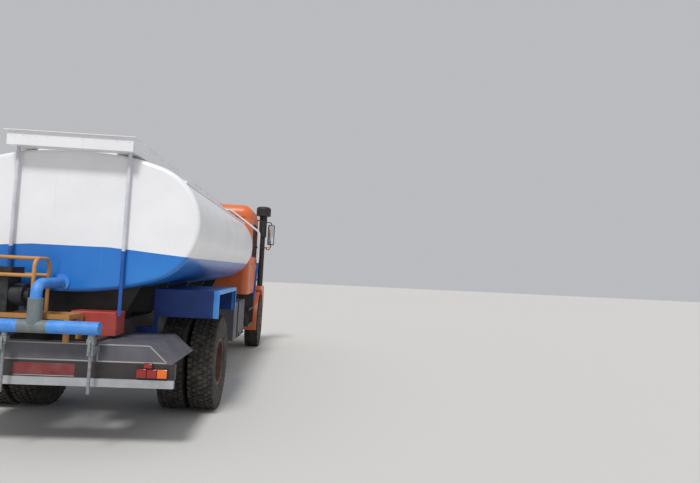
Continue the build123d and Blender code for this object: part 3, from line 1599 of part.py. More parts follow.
# Cab steps: two treads between side plates under each door, hung from the cab floor
step_front = door_front + 420
step_rear = cab_rear - 100
step_outer = cab_width / 2 + 40
step_inner = 860
step_width = step_outer - step_inner
step_x = (step_outer + step_inner) / 2
tread_thickness = 30
step_treads = (560, 860)
step_plate = 8
with BuildPart() as cab_steps:
    for side in (1, -1):
        for y in (step_front, step_rear - step_plate):
            with Locations((side * step_x, y, step_treads[0])):
                Box(step_width, step_plate, cab_floor - step_treads[0],
                    align=rearwards)
        for z in step_treads:
            with Locations((side * step_x, (step_front + step_rear) / 2, z)):
                Box(step_width, step_rear - step_front, tread_thickness, align=standing)
save("cab_steps", cab_steps.part)

# Snorkel: a stack from the right wing past the windscreen pillar, with a mushroom cap
snorkel_x = -1185
snorkel_y = cab_front - 90
stack_radius = 60
stack_top_radius = 82
stack_step_z = 2350
cap_base = 2805
cap_radius = 155
cap_height = 201
cap_round = 60
stay_width = 36
stay_places = (1420, 1780)
with BuildPart() as snorkel:
    with Locations((snorkel_x, snorkel_y, wing_top)):
        Cylinder(stack_radius, stack_step_z - wing_top, align=standing)
    with Locations((snorkel_x, snorkel_y, stack_step_z)):
        Cylinder(stack_top_radius, cap_base + 60 - stack_step_z, align=standing)
    with Locations((snorkel_x, snorkel_y, cap_base)):
        Cylinder(cap_radius, cap_height, align=standing)
    fillet(snorkel.faces().sort_by(Axis.Z)[-1].edges(), cap_round)
    for z in stay_places:
        with Locations((-cab_width / 2 + cab_corner + 20, snorkel_y, z)):
            Box(-snorkel_x - cab_width / 2 + cab_corner, stay_width, stay_width,
                align=(Align.MAX, Align.CENTER, Align.CENTER))
        with Locations((-cab_width / 2 + cab_corner + 20, cab_front, z)):
            Box(stay_width, cab_front - snorkel_y, stay_width, align=(Align.MIN, Align.MAX, Align.CENTER))
save("snorkel", snorkel.part)

# Mirrors: a tall head on a bow from each windscreen pillar
mirror_x = 1372
mirror_y = cab_front - 60
mirror_bottom = 2180
mirror_height = 440
mirror_width = 145
mirror_depth = 62
bow_radius = 11
bow_bottom = 2115
bow_top = gutter_z + 35
bow_foot = 12
with BuildPart() as mirrors:
    for side in (1, -1):
        with Locations((side * mirror_x, mirror_y, mirror_bottom)):
            Box(mirror_width, mirror_depth, mirror_height, align=standing)
        with BuildSketch(Plane.XY.offset(bow_bottom)):
            with Locations((side * mirror_x, mirror_y)):
                Circle(bow_radius)
        extrude(amount=bow_top - bow_bottom)
        foot_y = cab_front + screen_slope * (bow_bottom - scuttle_z) / (gutter_z - scuttle_z) + cab_corner
        for z, y in ((bow_bottom, foot_y), (bow_top, roof_front + cab_corner + 100)):
            with Locations((side * cab_width / 2, y, z)):
                outwards = Align.MIN if side > 0 else Align.MAX
                Box(bow_foot, 50, 2 * bow_radius, align=(outwards, Align.CENTER, Align.CENTER))
            start = Vector(side * (cab_width / 2 + bow_foot - 2), y, z)
            end = Vector(side * mirror_x, mirror_y, z)
            with BuildSketch(Plane(origin=start, z_dir=end - start)):
                Circle(bow_radius)
            extrude(amount=(end - start).length)
save("mirrors", mirrors.part)

# Seats: the driver's on the left and a bench for two beside it
seat_base = cab_floor + cab_wall
cushion_top = seat_base + 420
seat_rear = cab_rear - cab_wall - 70
seat_table = [
    # centre x, width
    (560, 520),
    (-330, 1080),
]
seat_profile = [
    # behind the seat's rear, height, height counted from
    (-520, fit_gap, seat_base),
    (-60, fit_gap, seat_base),
    (-60, -120, cushion_top),
    (0, -60, cushion_top),
    (40, 520, cushion_top),
    (-60, 540, cushion_top),
    (-130, 0, cushion_top),
    (-600, 30, cushion_top),
    (-620, -110, cushion_top),
    (-520, -130, cushion_top),
]
with BuildPart() as seats:
    for x, width in seat_table:
        with BuildSketch(Plane.YZ.offset(x - width / 2)):
            with BuildLine():
                Polyline([(seat_rear + behind, base + up) for behind, up, base in seat_profile], close=True)
            make_face()
        extrude(amount=width)
save("seats", seats.part)

# Dashboard across the scuttle, and the steering wheel on its column
dash_top = scuttle_z - 20
dash_front = cab_front + cab_wall + fit_gap
steer_x = 560
steer_tilt = radians(35)
column_radius = 24
column_length = 470
steer_behind = 480
steer_below = 30
steer_radius = 225
steer_rim = 15
steer_hub = 45
steer_hub_depth = 40
spoke_width = 34
spoke_depth = 14
spoke_reach = 220
wheel_plane = Plane(
    origin=(steer_x, dash_front + steer_behind, dash_top - steer_below),
    x_dir=(1, 0, 0),
    z_dir=(0, sin(steer_tilt), cos(steer_tilt)),
)
dash_profile = [
    # behind the dashboard's front, below its top
    (0, 420),
    (0, 0),
    (190, 0),
    (330, 90),
    (330, 230),
    (240, 420),
]
dash_half = cab_width / 2 - cab_wall - 130
with BuildPart() as dashboard:
    with BuildSketch(Plane.YZ.offset(-dash_half)):
        with BuildLine():
            Polyline([(dash_front + behind, dash_top - down) for behind, down in dash_profile], close=True)
        make_face()
    extrude(amount=2 * dash_half)
    with Locations(wheel_plane):
        Cylinder(column_radius + fit_gap, 2 * column_length, mode=Mode.SUBTRACT)
save("dashboard", dashboard.part)

with BuildPart() as steering_wheel:
    with Locations(wheel_plane):
        Torus(steer_radius, steer_rim)
        Cylinder(steer_hub, steer_hub_depth)
        Box(2 * steer_radius, spoke_width, spoke_depth)
        with Locations((0, spoke_reach / 2, 0)):
            Box(spoke_width, spoke_reach, spoke_depth)
        Cylinder(column_radius, column_length, align=hanging)
save("steering_wheel", steering_wheel.part)
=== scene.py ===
"""Looks of the water tanker truck: paint, rubber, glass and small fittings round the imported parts."""

import json
import math

import bmesh
import bpy
from mathutils import Matrix, Vector


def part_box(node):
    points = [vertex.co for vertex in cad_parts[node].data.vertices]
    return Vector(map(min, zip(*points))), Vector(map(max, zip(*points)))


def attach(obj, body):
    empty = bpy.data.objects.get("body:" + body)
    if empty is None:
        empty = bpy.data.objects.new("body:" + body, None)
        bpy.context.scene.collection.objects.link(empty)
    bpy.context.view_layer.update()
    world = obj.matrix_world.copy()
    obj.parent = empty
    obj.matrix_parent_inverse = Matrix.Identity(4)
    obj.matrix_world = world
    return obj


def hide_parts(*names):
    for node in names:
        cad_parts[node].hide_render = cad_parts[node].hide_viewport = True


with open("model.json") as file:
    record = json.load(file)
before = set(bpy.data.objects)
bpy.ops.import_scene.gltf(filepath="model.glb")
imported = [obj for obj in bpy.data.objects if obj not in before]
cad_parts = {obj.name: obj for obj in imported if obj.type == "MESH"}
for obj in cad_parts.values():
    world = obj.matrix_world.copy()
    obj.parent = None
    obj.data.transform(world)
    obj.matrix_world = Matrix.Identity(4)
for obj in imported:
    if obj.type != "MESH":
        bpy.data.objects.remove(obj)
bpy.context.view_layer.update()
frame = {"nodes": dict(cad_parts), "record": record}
nodes = frame["nodes"]

# Place and angles that the photograph's straight edges gave for its camera, in metres and degrees
camera_place = (-2.2302, 8.93, 1.6756)
camera_yaw = math.radians(4.144)
camera_pitch = math.radians(3.225)
camera_roll = math.radians(2.804)
photo_width = 700
focal_pixels = 547.95
sensor_width = 36.0

# Direction from the truck towards the sun, from the shadows' lengths
sun_direction = Vector((0.109, 0.75, 1.0))

# The spray bar: its axis, the riser's place across, the bare stretch's half width and top, the taps' top
bar_y = 4.104
riser_x = 0.05
bare_half = 0.12
bare_top = 1.33
tap_top = 1.036

# Rear face of the deck and the beam, and the foot and lean of the windscreen
tail_face = 3.970
screen_foot_y = -3.010
screen_foot_z = 1.905
screen_lean = 0.190 / 0.725

# Line between the tank's two colours: its height in the middle and at the sides, where it bends, its wobble
line_middle = 1.80
line_side = 1.735
bend_start = 0.35
bend_end = 1.15
line_wobble = 0.006
pipe_line = 1.77

# Top of the bare guard rail, and the width of the mudguards' bright outer edge, which is painted sunlight
rail_top = 0.6535
guard_sunlit_edge = 0.055

# Road dust on the paint, the heights between which it thins out, and the rust that chips show
dust_colour = "#8d8273"
dust_top = 1.6
dust_foot = 0.3
rust_colour = "#5b3a2a"

# Blender's wave texture has this pitch at a scale of 1
wave_pitch_mm = 1000 * 2 * math.pi / 20


def linear(code):
    """sRGB hex colour as linear RGBA."""
    values = [int(code[i:i + 2], 16) / 255 for i in (1, 3, 5)]
    return [v / 12.92 if v <= 0.04045 else ((v + 0.055) / 1.055) ** 2.4 for v in values] + [1.0]


def add(tree, kind, settings=(), links=(), **attributes):
    """Adds one node: attributes are its own options, settings its input values, links its inputs' sources."""
    made = tree.nodes.new(kind)
    for key, value in attributes.items():
        setattr(made, key, value)
    for socket, value in dict(settings).items():
        made.inputs[socket].default_value = value
    for socket, source in dict(links).items():
        tree.links.new(source, made.inputs[socket])
    return made


def new_material(name):
    """Empty material, its node tree, its shader and its Object coordinates."""
    material = bpy.data.materials.new(name)
    material.use_nodes = True
    tree = material.node_tree
    tree.nodes.clear()
    shader = add(tree, "ShaderNodeBsdfPrincipled")
    add(tree, "ShaderNodeOutputMaterial", links={"Surface": shader.outputs["BSDF"]})
    place = add(tree, "ShaderNodeTexCoord").outputs["Object"]
    return material, tree, shader, place


def noise(tree, place, size_mm, detail=4.0, rough=0.55):
    """Noise whose blotches are about that many millimetres across."""
    made = add(tree, "ShaderNodeTexNoise", {"Scale": 1000.0 / size_mm, "Detail": detail, "Roughness": rough},
               {"Vector": place})
    return made.outputs["Fac"]


def wave(tree, place, pitch_mm, direction):
    """Bands that many millimetres apart."""
    made = add(tree, "ShaderNodeTexWave", {"Scale": wave_pitch_mm / pitch_mm}, {"Vector": place},
               bands_direction=direction)
    return made.outputs["Fac"]


def ramp(tree, source, low, high):
    """Share that rises from 0 to 1 between two values of the source."""
    made = add(tree, "ShaderNodeValToRGB", links={"Fac": source})
    made.color_ramp.elements[0].position = low
    made.color_ramp.elements[1].position = high
    return made.outputs["Color"]


def rescale(tree, source, start, end, low, high):
    """Value that goes from low to high while the source goes from start to end, and no further."""
    limits = {"From Min": start, "From Max": end, "To Min": low, "To Max": high}
    return add(tree, "ShaderNodeMapRange", limits, {"Value": source}).outputs["Result"]


def calculate(tree, operation, *values):
    """Result of a sum on values, each a number or another node's output."""
    made = add(tree, "ShaderNodeMath", operation=operation)
    for socket, value in zip(made.inputs, values):
        if isinstance(value, (int, float)):
            socket.default_value = value
        else:
            tree.links.new(value, socket)
    return made.outputs["Value"]


def coordinate(tree, place, axis):
    """Coordinate of a place along one axis."""
    return add(tree, "ShaderNodeSeparateXYZ", links={"Vector": place}).outputs[axis]


def mix(tree, factor, first, second):
    """Colour mixed by a factor; each colour is a hex code or another node's output."""
    made = add(tree, "ShaderNodeMix", data_type="RGBA")
    tree.links.new(factor, made.inputs["Factor"])
    # The colour sockets share their labels with the number ones, so they are taken by place
    for socket, value in ((made.inputs[6], first), (made.inputs[7], second)):
        if isinstance(value, str):
            socket.default_value = linear(value)
        else:
            tree.links.new(value, socket)
    return made.outputs[2]


def blotchy(tree, place, size_mm, low, high, first, second):
    """Two colours in soft blotches of about that size."""
    return mix(tree, ramp(tree, noise(tree, place, size_mm), low, high), first, second)


def bump(tree, shader, height, strength, depth_mm):
    """Bump of that depth from a height between 0 and 1."""
    size = {"Strength": strength, "Distance": depth_mm / 1000}
    made = add(tree, "ShaderNodeBump", size, {"Height": height})
    tree.links.new(made.outputs["Normal"], shader.inputs["Normal"])


def painted_steel(name, colour, faded, gloss=0.35, wear_share=0.0, dust_share=0.5):
    """Brushed-on or sprayed enamel on sheet steel: uneven fading, road dust low down, chips to rust."""
    material, tree, shader, place = new_material(name)
    paint = blotchy(tree, place, 420, 0.35, 0.7, colour, faded)
    low_down = rescale(tree, coordinate(tree, place, "Z"), dust_top, dust_foot, 0.0, dust_share)
    patches = ramp(tree, noise(tree, place, 160), 0.3, 0.75)
    paint = mix(tree, calculate(tree, "MULTIPLY", low_down, patches), paint, dust_colour)
    if wear_share:
        # The smaller the share, the higher the noise has to rise for a chip
        start = 0.72 - 0.2 * wear_share
        chips = ramp(tree, noise(tree, place, 38, 8.0, 0.7), start, start + 0.04)
        paint = mix(tree, chips, paint, rust_colour)
    tree.links.new(paint, shader.inputs["Base Color"])
    uneven = ramp(tree, noise(tree, place, 90), 0.2, 0.9)
    tree.links.new(rescale(tree, uneven, 0.0, 1.0, gloss, gloss + 0.25), shader.inputs["Roughness"])
    bump(tree, shader, noise(tree, place, 14), 0.25, 0.6)
    return material


def tank_enamel():
    """Tank's two-colour enamel: white above, bright blue below a hand-masked line, with streaks and dents."""
    material, tree, shader, place = new_material("tank_enamel")
    across = calculate(tree, "ABSOLUTE", coordinate(tree, place, "X"))
    dip = rescale(tree, across, bend_start, bend_end, line_middle, line_side)
    wobble = rescale(tree, noise(tree, place, 700), 0.0, 1.0, -line_wobble, line_wobble)
    line = calculate(tree, "ADD", dip, wobble)
    above = calculate(tree, "GREATER_THAN", coordinate(tree, place, "Z"), line)
    white = blotchy(tree, place, 600, 0.35, 0.75, "#f1f1f3", "#e6e6e9")
    blue = blotchy(tree, place, 500, 0.3, 0.75, "#1b6fc6", "#2a7fd0")
    paint = mix(tree, above, blue, white)
    # Rain streaks: noise stretched down
    stretched = add(tree, "ShaderNodeMapping", {"Scale": (1.0, 1.0, 0.08)}, {"Vector": place})
    streaks = ramp(tree, noise(tree, stretched.outputs["Vector"], 45, 3.0), 0.6, 0.85)
    paint = mix(tree, calculate(tree, "MULTIPLY", streaks, 0.16), paint, "#9b958c")
    tree.links.new(paint, shader.inputs["Base Color"])
    shader.inputs["Roughness"].default_value = 0.3
    shader.inputs["Coat Weight"].default_value = 0.25
    shader.inputs["Coat Roughness"].default_value = 0.15
    bump(tree, shader, noise(tree, place, 480, 2.0), 0.35, 5.0)
    return material


def split_enamel(name, axis, limit, beyond, within, rough=0.42):
    """Brushed enamel in two colours, parted where the coordinate's size on one axis passes a limit; on the
    mudguards the two colours are painted sunlight and painted shade.
    """
    material, tree, shader, place = new_material(name)
    size = calculate(tree, "ABSOLUTE", coordinate(tree, place, axis))
    past = calculate(tree, "GREATER_THAN", size, limit)
    outer = blotchy(tree, place, 180, 0.35, 0.75, *beyond)
    inner = blotchy(tree, place, 180, 0.35, 0.75, *within)
    tree.links.new(mix(tree, past, inner, outer), shader.inputs["Base Color"])
    shader.inputs["Roughness"].default_value = rough
    bump(tree, shader, noise(tree, place, 20), 0.25, 0.6)
    return material


def manifold_enamel():
    """Spray bar in flaking light blue, bare at the riser and in its middle, with metal taps below."""
    material, tree, shader, place = new_material("flaking_blue_pipe_enamel")
    height = coordinate(tree, place, "Z")
    offset = calculate(tree, "SUBTRACT", coordinate(tree, place, "X"), riser_x)
    near = calculate(tree, "LESS_THAN", calculate(tree, "ABSOLUTE", offset), bare_half)
    bare = calculate(tree, "MULTIPLY", near, calculate(tree, "LESS_THAN", height, bare_top))
    paint = blotchy(tree, place, 90, 0.35, 0.75, "#3c84d6", "#5b9be0")
    flakes = ramp(tree, noise(tree, place, 30, 8.0, 0.7), 0.60, 0.64)
    paint = mix(tree, flakes, paint, "#8c9298")
    metal = blotchy(tree, place, 40, 0.3, 0.8, "#6f7375", "#93989a")
    paint = mix(tree, calculate(tree, "LESS_THAN", height, tap_top), paint, metal)
    grey = blotchy(tree, place, 60, 0.3, 0.8, "#646e70", "#7b8485")
    tree.links.new(mix(tree, bare, paint, grey), shader.inputs["Base Color"])
    shader.inputs["Roughness"].default_value = 0.5
    bump(tree, shader, flakes, 0.3, 0.4)
    return material


def tyre_rubber():
    """Moulded truck tyre: dark rubber greyed by dust in blotches."""
    material, tree, shader, place = new_material("tyre_rubber")
    dust = ramp(tree, noise(tree, place, 70, 6.0), 0.35, 0.8)
    tree.links.new(mix(tree, dust, "#262626", "#5d564d"), shader.inputs["Base Color"])
    shader.inputs["Roughness"].default_value = 0.85
    bump(tree, shader, noise(tree, place, 6, 6.0), 0.4, 0.8)
    return material


def cast_metal(name, colour, stain):
    """Sand-cast iron or alloy: grainy, with oily stains in blotches."""
    material, tree, shader, place = new_material(name)
    tree.links.new(blotchy(tree, place, 60, 0.35, 0.7, colour, stain), shader.inputs["Base Color"])
    shader.inputs["Roughness"].default_value = 0.6
    shader.inputs["Metallic"].default_value = 0.4
    bump(tree, shader, noise(tree, place, 5, 3.0), 0.4, 0.6)
    return material


def galvanised_steel():
    """Hot-dip galvanised steel: grey with cloudy spangle, 25 mm across."""
    material, tree, shader, place = new_material("galvanised_steel")
    spangle = add(tree, "ShaderNodeTexVoronoi", {"Scale": 1000.0 / 25}, {"Vector": place}).outputs["Distance"]
    tree.links.new(mix(tree, spangle, "#8f9496", "#a9adad"), shader.inputs["Base Color"])
    shader.inputs["Metallic"].default_value = 0.85
    shader.inputs["Roughness"].default_value = 0.48
    bump(tree, shader, noise(tree, place, 20), 0.2, 0.5)
    return material


def black_plastic():
    """Moulded black polypropylene, greying with age and finely grained."""
    material, tree, shader, place = new_material("moulded_polypropylene")
    tree.links.new(blotchy(tree, place, 130, 0.3, 0.8, "#1b1b1c", "#343434"), shader.inputs["Base Color"])
    shader.inputs["Roughness"].default_value = 0.55
    bump(tree, shader, noise(tree, place, 2), 0.3, 0.2)
    return material


def safety_glass():
    """Toughened glass with a faint green tint and a film of dust."""
    material, tree, shader, place = new_material("safety_glass")
    film = rescale(tree, noise(tree, place, 200), 0.0, 1.0, 0.02, 0.12)
    tree.links.new(film, shader.inputs["Roughness"])
    shader.inputs["Base Color"].default_value = linear("#cfdcd6")
    shader.inputs["Transmission Weight"].default_value = 0.9
    shader.inputs["IOR"].default_value = 1.5
    return material


def lamp_lens(name, colour):
    """Acrylic lens with moulded ribs, coloured right through."""
    material, tree, shader, place = new_material(name)
    shader.inputs["Base Color"].default_value = linear(colour)
    shader.inputs["Roughness"].default_value = 0.12
    shader.inputs["Coat Weight"].default_value = 0.6
    shader.inputs["IOR"].default_value = 1.49
    bump(tree, shader, wave(tree, place, 27.62, "X"), 0.5, 1.0)
    return material


def chrome():
    """Bright chromium plate, barely hazed."""
    material, tree, shader, place = new_material("chromium_plate")
    haze = rescale(tree, noise(tree, place, 50), 0.0, 1.0, 0.04, 0.14)
    tree.links.new(haze, shader.inputs["Roughness"])
    shader.inputs["Base Color"].default_value = linear("#d8dadc")
    shader.inputs["Metallic"].default_value = 1.0
    return material


def seal_rubber():
    """Extruded black window rubber, chalky with age."""
    material, tree, shader, place = new_material("window_rubber")
    tree.links.new(blotchy(tree, place, 40, 0.3, 0.8, "#141414", "#2a2a29"), shader.inputs["Base Color"])
    shader.inputs["Roughness"].default_value = 0.7
    return material


def seat_cloth():
    """Coarse woven seat cloth, dark grey."""
    material, tree, shader, place = new_material("woven_seat_cloth")
    weave = wave(tree, place, 9.865, "DIAGONAL")
    tree.links.new(mix(tree, weave, "#2b2a2c", "#3c3a3d"), shader.inputs["Base Color"])
    shader.inputs["Roughness"].default_value = 0.9
    shader.inputs["Sheen Weight"].default_value = 0.2
    bump(tree, shader, weave, 0.5, 0.7)
    return material


def floor_paint():
    """Even pale paint of the floor."""
    material, _, shader, _ = new_material("pale_floor")
    shader.inputs["Base Color"].default_value = linear("#cfcdc9")
    shader.inputs["Roughness"].default_value = 0.9
    return material


guard_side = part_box("rear_mudguards")[1].x
materials = {
    # Enamels on sheet steel and tube: name, colour, the same faded, then how dull, chipped and dusty it is
    # Rust-red wheel paint, darkened partly as painted shade
    "wheel": painted_steel("rust_red_wheel_enamel", "#553027", "#684035", gloss=0.5, wear_share=0.3),
    "chassis": painted_steel("black_chassis_enamel", "#1d1d1f", "#2b2a2a", gloss=0.45, wear_share=0.2),
    "cab": painted_steel("orange_cab_enamel", "#d8622a", "#e07a45", gloss=0.3, wear_share=0.1,
                         dust_share=0.4),
    "blue": painted_steel("bright_blue_enamel", "#2d7fd2", "#3f8fdc", wear_share=0.1, dust_share=0.3),
    "deck": painted_steel("grey_deck_enamel", "#4c4c55", "#63626a", gloss=0.5, wear_share=0.1,
                          dust_share=0.25),
    "rail": painted_steel("light_grey_rail_enamel", "#a8a8a8", "#8e8d8c", gloss=0.5, wear_share=0.2),
    "red": painted_steel("red_box_enamel", "#a8342f", "#b7453c", wear_share=0.3),
    "tan": painted_steel("tan_tube_enamel", "#b8803f", "#c9945a", gloss=0.4, wear_share=0.3),
    "plate": painted_steel("dark_red_plate_enamel", "#6e1620", "#7c1d26"),
    # The tank, and the drain pipes that were painted along with it
    "tank": tank_enamel(),
    "pipes": split_enamel("drain_pipe_enamel", "Z", pipe_line,
                          ("#d9dbe0", "#b9bcc4"), ("#1d4f9c", "#2b62b0")),
    "manifold": manifold_enamel(),
    # Deep beam in dark primer above a bare pale guard rail
    "beams": split_enamel("rear_beam_enamel", "Z", rail_top,
                          ("#2b2827", "#3a3534"), ("#a9abad", "#8d9093"), rough=0.5),
    # Mudguards: blue sheet, its navy inner part painted shade and its brighter outer edge painted sunlight
    "guards": split_enamel("mudguard_enamel_sun_and_shade", "X", guard_side - guard_sunlit_edge,
                           ("#3a90e4", "#5aa3ea"), ("#123478", "#1b4590")),
    # Bare metals
    "casting": cast_metal("oily_casting", "#3c3e40", "#222222"),
    "zinc": galvanised_steel(),
    "chrome": chrome(),
    # Rubber, plastic, cloth and glass
    "tyre": tyre_rubber(),
    "seal": seal_rubber(),
    "plastic": black_plastic(),
    "seat": seat_cloth(),
    "glass": safety_glass(),
    "red_lens": lamp_lens("red_acrylic_lens", "#8c120e"),
    "clear_lens": lamp_lens("clear_acrylic_lens", "#c9ccce"),
    "amber_lens": lamp_lens("amber_acrylic_lens", "#e06a14"),
}

finish_of_slot = {
    "tyre": "tyre",
    "wheel_paint": "wheel",
    "chassis_paint": "chassis",
    "tank_paint": "tank",
    "blue_paint": "blue",
    "cab_paint": "cab",
    "grey_paint": "deck",
    "light_grey_paint": "rail",
    "red_paint": "red",
    "tan_paint": "tan",
    "engine_paint": "casting",
    "galvanised_steel": "zinc",
    "black_plastic": "plastic",
    "lamp_lens": "red_lens",
    "headlamp_lens": "clear_lens",
    "window_glass": "glass",
    "seat_vinyl": "seat",
}
finish_of_node = {
    "drain_pipes": "pipes",
    "spray_manifold": "manifold",
    "rear_beams": "beams",
    "rear_mudguards": "guards",
}

for entry in frame["record"]["subparts"]:
    finish = finish_of_node.get(entry["node"], finish_of_slot[entry["material_slot"]])
    plain_mesh = nodes[entry["node"]].data
    plain_mesh.materials.clear()
    plain_mesh.materials.append(materials[finish])


# Edges sharper than this stay sharp; points nearer than this are one
smooth_angle = math.radians(35)
weld_distance = 1e-6


def new_piece(name, bm, body, material):
    """Turns a bmesh into a finished piece that rides on a body."""
    bmesh.ops.remove_doubles(bm, verts=bm.verts, dist=weld_distance)
    bmesh.ops.recalc_face_normals(bm, faces=bm.faces)
    data = bpy.data.meshes.new(name)
    bm.to_mesh(data)
    bm.free()
    data.materials.append(material)
    return finish_piece(name, data, body)


def finish_piece(name, data, body):
    """Links a mesh as a piece, smooth except across sharp edges."""
    piece = bpy.data.objects.new(name, data)
    bpy.context.scene.collection.objects.link(piece)
    data.shade_smooth()
    data.set_sharp_from_angle(angle=smooth_angle)
    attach(piece, body)
    return piece


def lathe(profile, axis_point, axis, out, steps):
    """Bmesh turned about an axis; the closed profile lists (along, radius), and out is the radius's start."""
    axis = Vector(axis).normalized()
    out = Vector(out).normalized()
    aside = axis.cross(out)
    bm = bmesh.new()
    rings = []
    for i in range(steps):
        turn = 2 * math.pi * i / steps
        spoke = math.cos(turn) * out + math.sin(turn) * aside
        rings.append([bm.verts.new(Vector(axis_point) + axis * a + spoke * r) for a, r in profile])
    for i in range(steps):
        here, there = rings[i], rings[(i + 1) % steps]
        for j in range(len(profile)):
            k = (j + 1) % len(profile)
            bm.faces.new((here[j], here[k], there[k], there[j]))
    return bm


def box_bmesh(low, high, bevel, segments=2):
    """Box between two corners with its edges rounded."""
    bm = bmesh.new()
    bmesh.ops.create_cube(bm, size=1.0)
    low, high = Vector(low), Vector(high)
    for v in bm.verts:
        v.co = (low + high) / 2 + Vector([c * s for c, s in zip(v.co, high - low)])
    bmesh.ops.bevel(bm, geom=bm.edges[:], offset=bevel, segments=segments, profile=0.5, affect="EDGES")
    return bm


def side_box(side, across, along, up, bevel, segments=2):
    """Box on one side of the truck, from its ranges outwards from the middle, rearwards and upwards."""
    low_x, high_x = sorted(side * a for a in across)
    return box_bmesh((low_x, along[0], up[0]), (high_x, along[1], up[1]), bevel, segments)


def tube_along(points, radius, closed=False, sides=8):
    """Mesh tube along a list of points."""
    bm = bmesh.new()
    points = [Vector(p) for p in points]
    count = len(points)
    turns = [2 * math.pi * k / sides for k in range(sides)]
    rings = []
    side = None
    for i, p in enumerate(points):
        before = points[i - 1] if i or closed else p
        after = points[(i + 1) % count] if i + 1 < count or closed else p
        ahead = (after - before).normalized()
        if side is None:
            side = ahead.orthogonal().normalized()
        side = (side - ahead * side.dot(ahead)).normalized()
        other = ahead.cross(side)
        rings.append([bm.verts.new(p + radius * (math.cos(t) * side + math.sin(t) * other)) for t in turns])
    for i in range(count if closed else count - 1):
        here, there = rings[i], rings[(i + 1) % count]
        for k in range(sides):
            bm.faces.new((here[k], here[(k + 1) % sides], there[(k + 1) % sides], there[k]))
    if not closed:
        bm.faces.new(rings[0])
        bm.faces.new(rings[-1])
    return bm


def join_bmeshes(parts):
    """One bmesh of several."""
    whole = bmesh.new()
    for part in parts:
        data = bpy.data.meshes.new("part")
        part.to_mesh(data)
        part.free()
        whole.from_mesh(data)
        bpy.data.meshes.remove(data)
    return whole


def grown(name, tree, inputs, place):
    """Plain mesh of what a geometry tree grows with those inputs, moved to its place."""
    seed = bpy.data.objects.new(name, bpy.data.meshes.new(name))
    bpy.context.scene.collection.objects.link(seed)
    live = seed.modifiers.new(name, "NODES")
    live.node_group = tree
    for item in tree.interface.items_tree:
        if item.item_type == "SOCKET" and item.in_out == "INPUT" and item.name in inputs:
            live[item.identifier] = inputs[item.name]
    bpy.context.view_layer.update()
    data = bpy.data.meshes.new_from_object(seed.evaluated_get(bpy.context.evaluated_depsgraph_get()))
    bpy.data.objects.remove(seed)
    data.name = name
    data.transform(place)
    return data


def geometry_tree(name, inputs):
    """Empty geometry tree with named inputs; returns it with its input and output nodes."""
    tree = bpy.data.node_groups.new(name, "GeometryNodeTree")
    for label, kind, value in inputs:
        made = tree.interface.new_socket(label, in_out="INPUT", socket_type=kind)
        if value is not None:
            made.default_value = value
    tree.interface.new_socket("Geometry", in_out="OUTPUT", socket_type="NodeSocketGeometry")
    return tree, add(tree, "NodeGroupInput"), add(tree, "NodeGroupOutput")


def ring_tree(name, inputs, make_copy):
    """Tree that sets copies of one shape round the X axis, each turned to face outwards."""
    tree, given, result = geometry_tree(name, inputs + [
        ("Count", "NodeSocketInt", 10),
        ("Material", "NodeSocketMaterial", None),
    ])
    shape = make_copy(tree, given)
    points = add(tree, "GeometryNodeMeshLine", links={"Count": given.outputs["Count"]}, mode="OFFSET")
    points.inputs["Offset"].default_value = (0.0, 0.0, 0.0)
    index = add(tree, "GeometryNodeInputIndex").outputs["Index"]
    turn = calculate(tree, "MULTIPLY", calculate(tree, "DIVIDE", index, given.outputs["Count"]), 2 * math.pi)
    spin = add(tree, "ShaderNodeCombineXYZ", links={"X": turn})
    copies = add(tree, "GeometryNodeInstanceOnPoints",
                 links={"Points": points.outputs["Mesh"], "Instance": shape, "Rotation": spin.outputs[0]})
    real = add(tree, "GeometryNodeRealizeInstances", links={"Geometry": copies.outputs["Instances"]})
    painted = add(tree, "GeometryNodeSetMaterial",
                  links={"Geometry": real.outputs["Geometry"], "Material": given.outputs["Material"]})
    tree.links.new(painted.outputs["Geometry"], result.inputs["Geometry"])
    return tree


# Tread of one pitch of tyre: each row of blocks at its place across, in millimetres and degrees
tread_rows = [
    # place across, width, length, twist, share of a pitch ahead
    (-113, 44, 40, 6, 0.0),
    (-61, 42, 44, -26, 0.5),
    (0, 50, 44, 24, 0.0),
    (61, 42, 44, -26, 0.5),
    (113, 44, 40, 6, 0.0),
]
tread_pitches = 54
tread_height = 0.021
# A flat block's edges stand further out than its middle by this
block_sag = 0.0008
block_edge = 0.002

# Tyre: radius, half its width, the width over which a node holds two, and how far the second is turned
tyre_radius = 0.545
tyre_half = 0.140
twin_width = 0.4
twin_turn = 0.03
tyre_steps = 108


def tread_blocks(tree, given):
    """Blocks of one pitch of tread, at the top of the tyre."""
    join = add(tree, "GeometryNodeJoinGeometry")
    pitch = 2 * math.pi / tread_pitches
    for across, width, length, twist, ahead in tread_rows:
        block = add(tree, "GeometryNodeMeshCube", {"Size": (width / 1000, length / 1000, tread_height)})
        turned = add(tree, "GeometryNodeTransform", {
            "Translation": (across / 1000, 0.0, tyre_radius - block_sag - tread_height / 2),
            "Rotation": (0.0, 0.0, math.radians(twist)),
        }, {"Geometry": block.outputs["Mesh"]})
        set_ahead = add(tree, "GeometryNodeTransform", {"Rotation": (ahead * pitch, 0.0, 0.0)},
                        {"Geometry": turned.outputs["Geometry"]})
        tree.links.new(set_ahead.outputs["Geometry"], join.inputs["Geometry"])
    return join.outputs["Geometry"]


# Half section of a tyre's carcass: (across from its middle, radius), with ribs on the sidewall
carcass = [
    (0.098, 0.254), (0.110, 0.276), (0.126, 0.299), (0.1335, 0.325), (0.1325, 0.332), (0.1365, 0.345),
    (0.1385, 0.379), (0.1395, 0.420), (0.1385, 0.455), (0.1395, 0.462), (0.1385, 0.470), (0.1365, 0.492),
    (0.1345, 0.512), (0.128, 0.525), (0.112, 0.530), (0.0, 0.531),
]


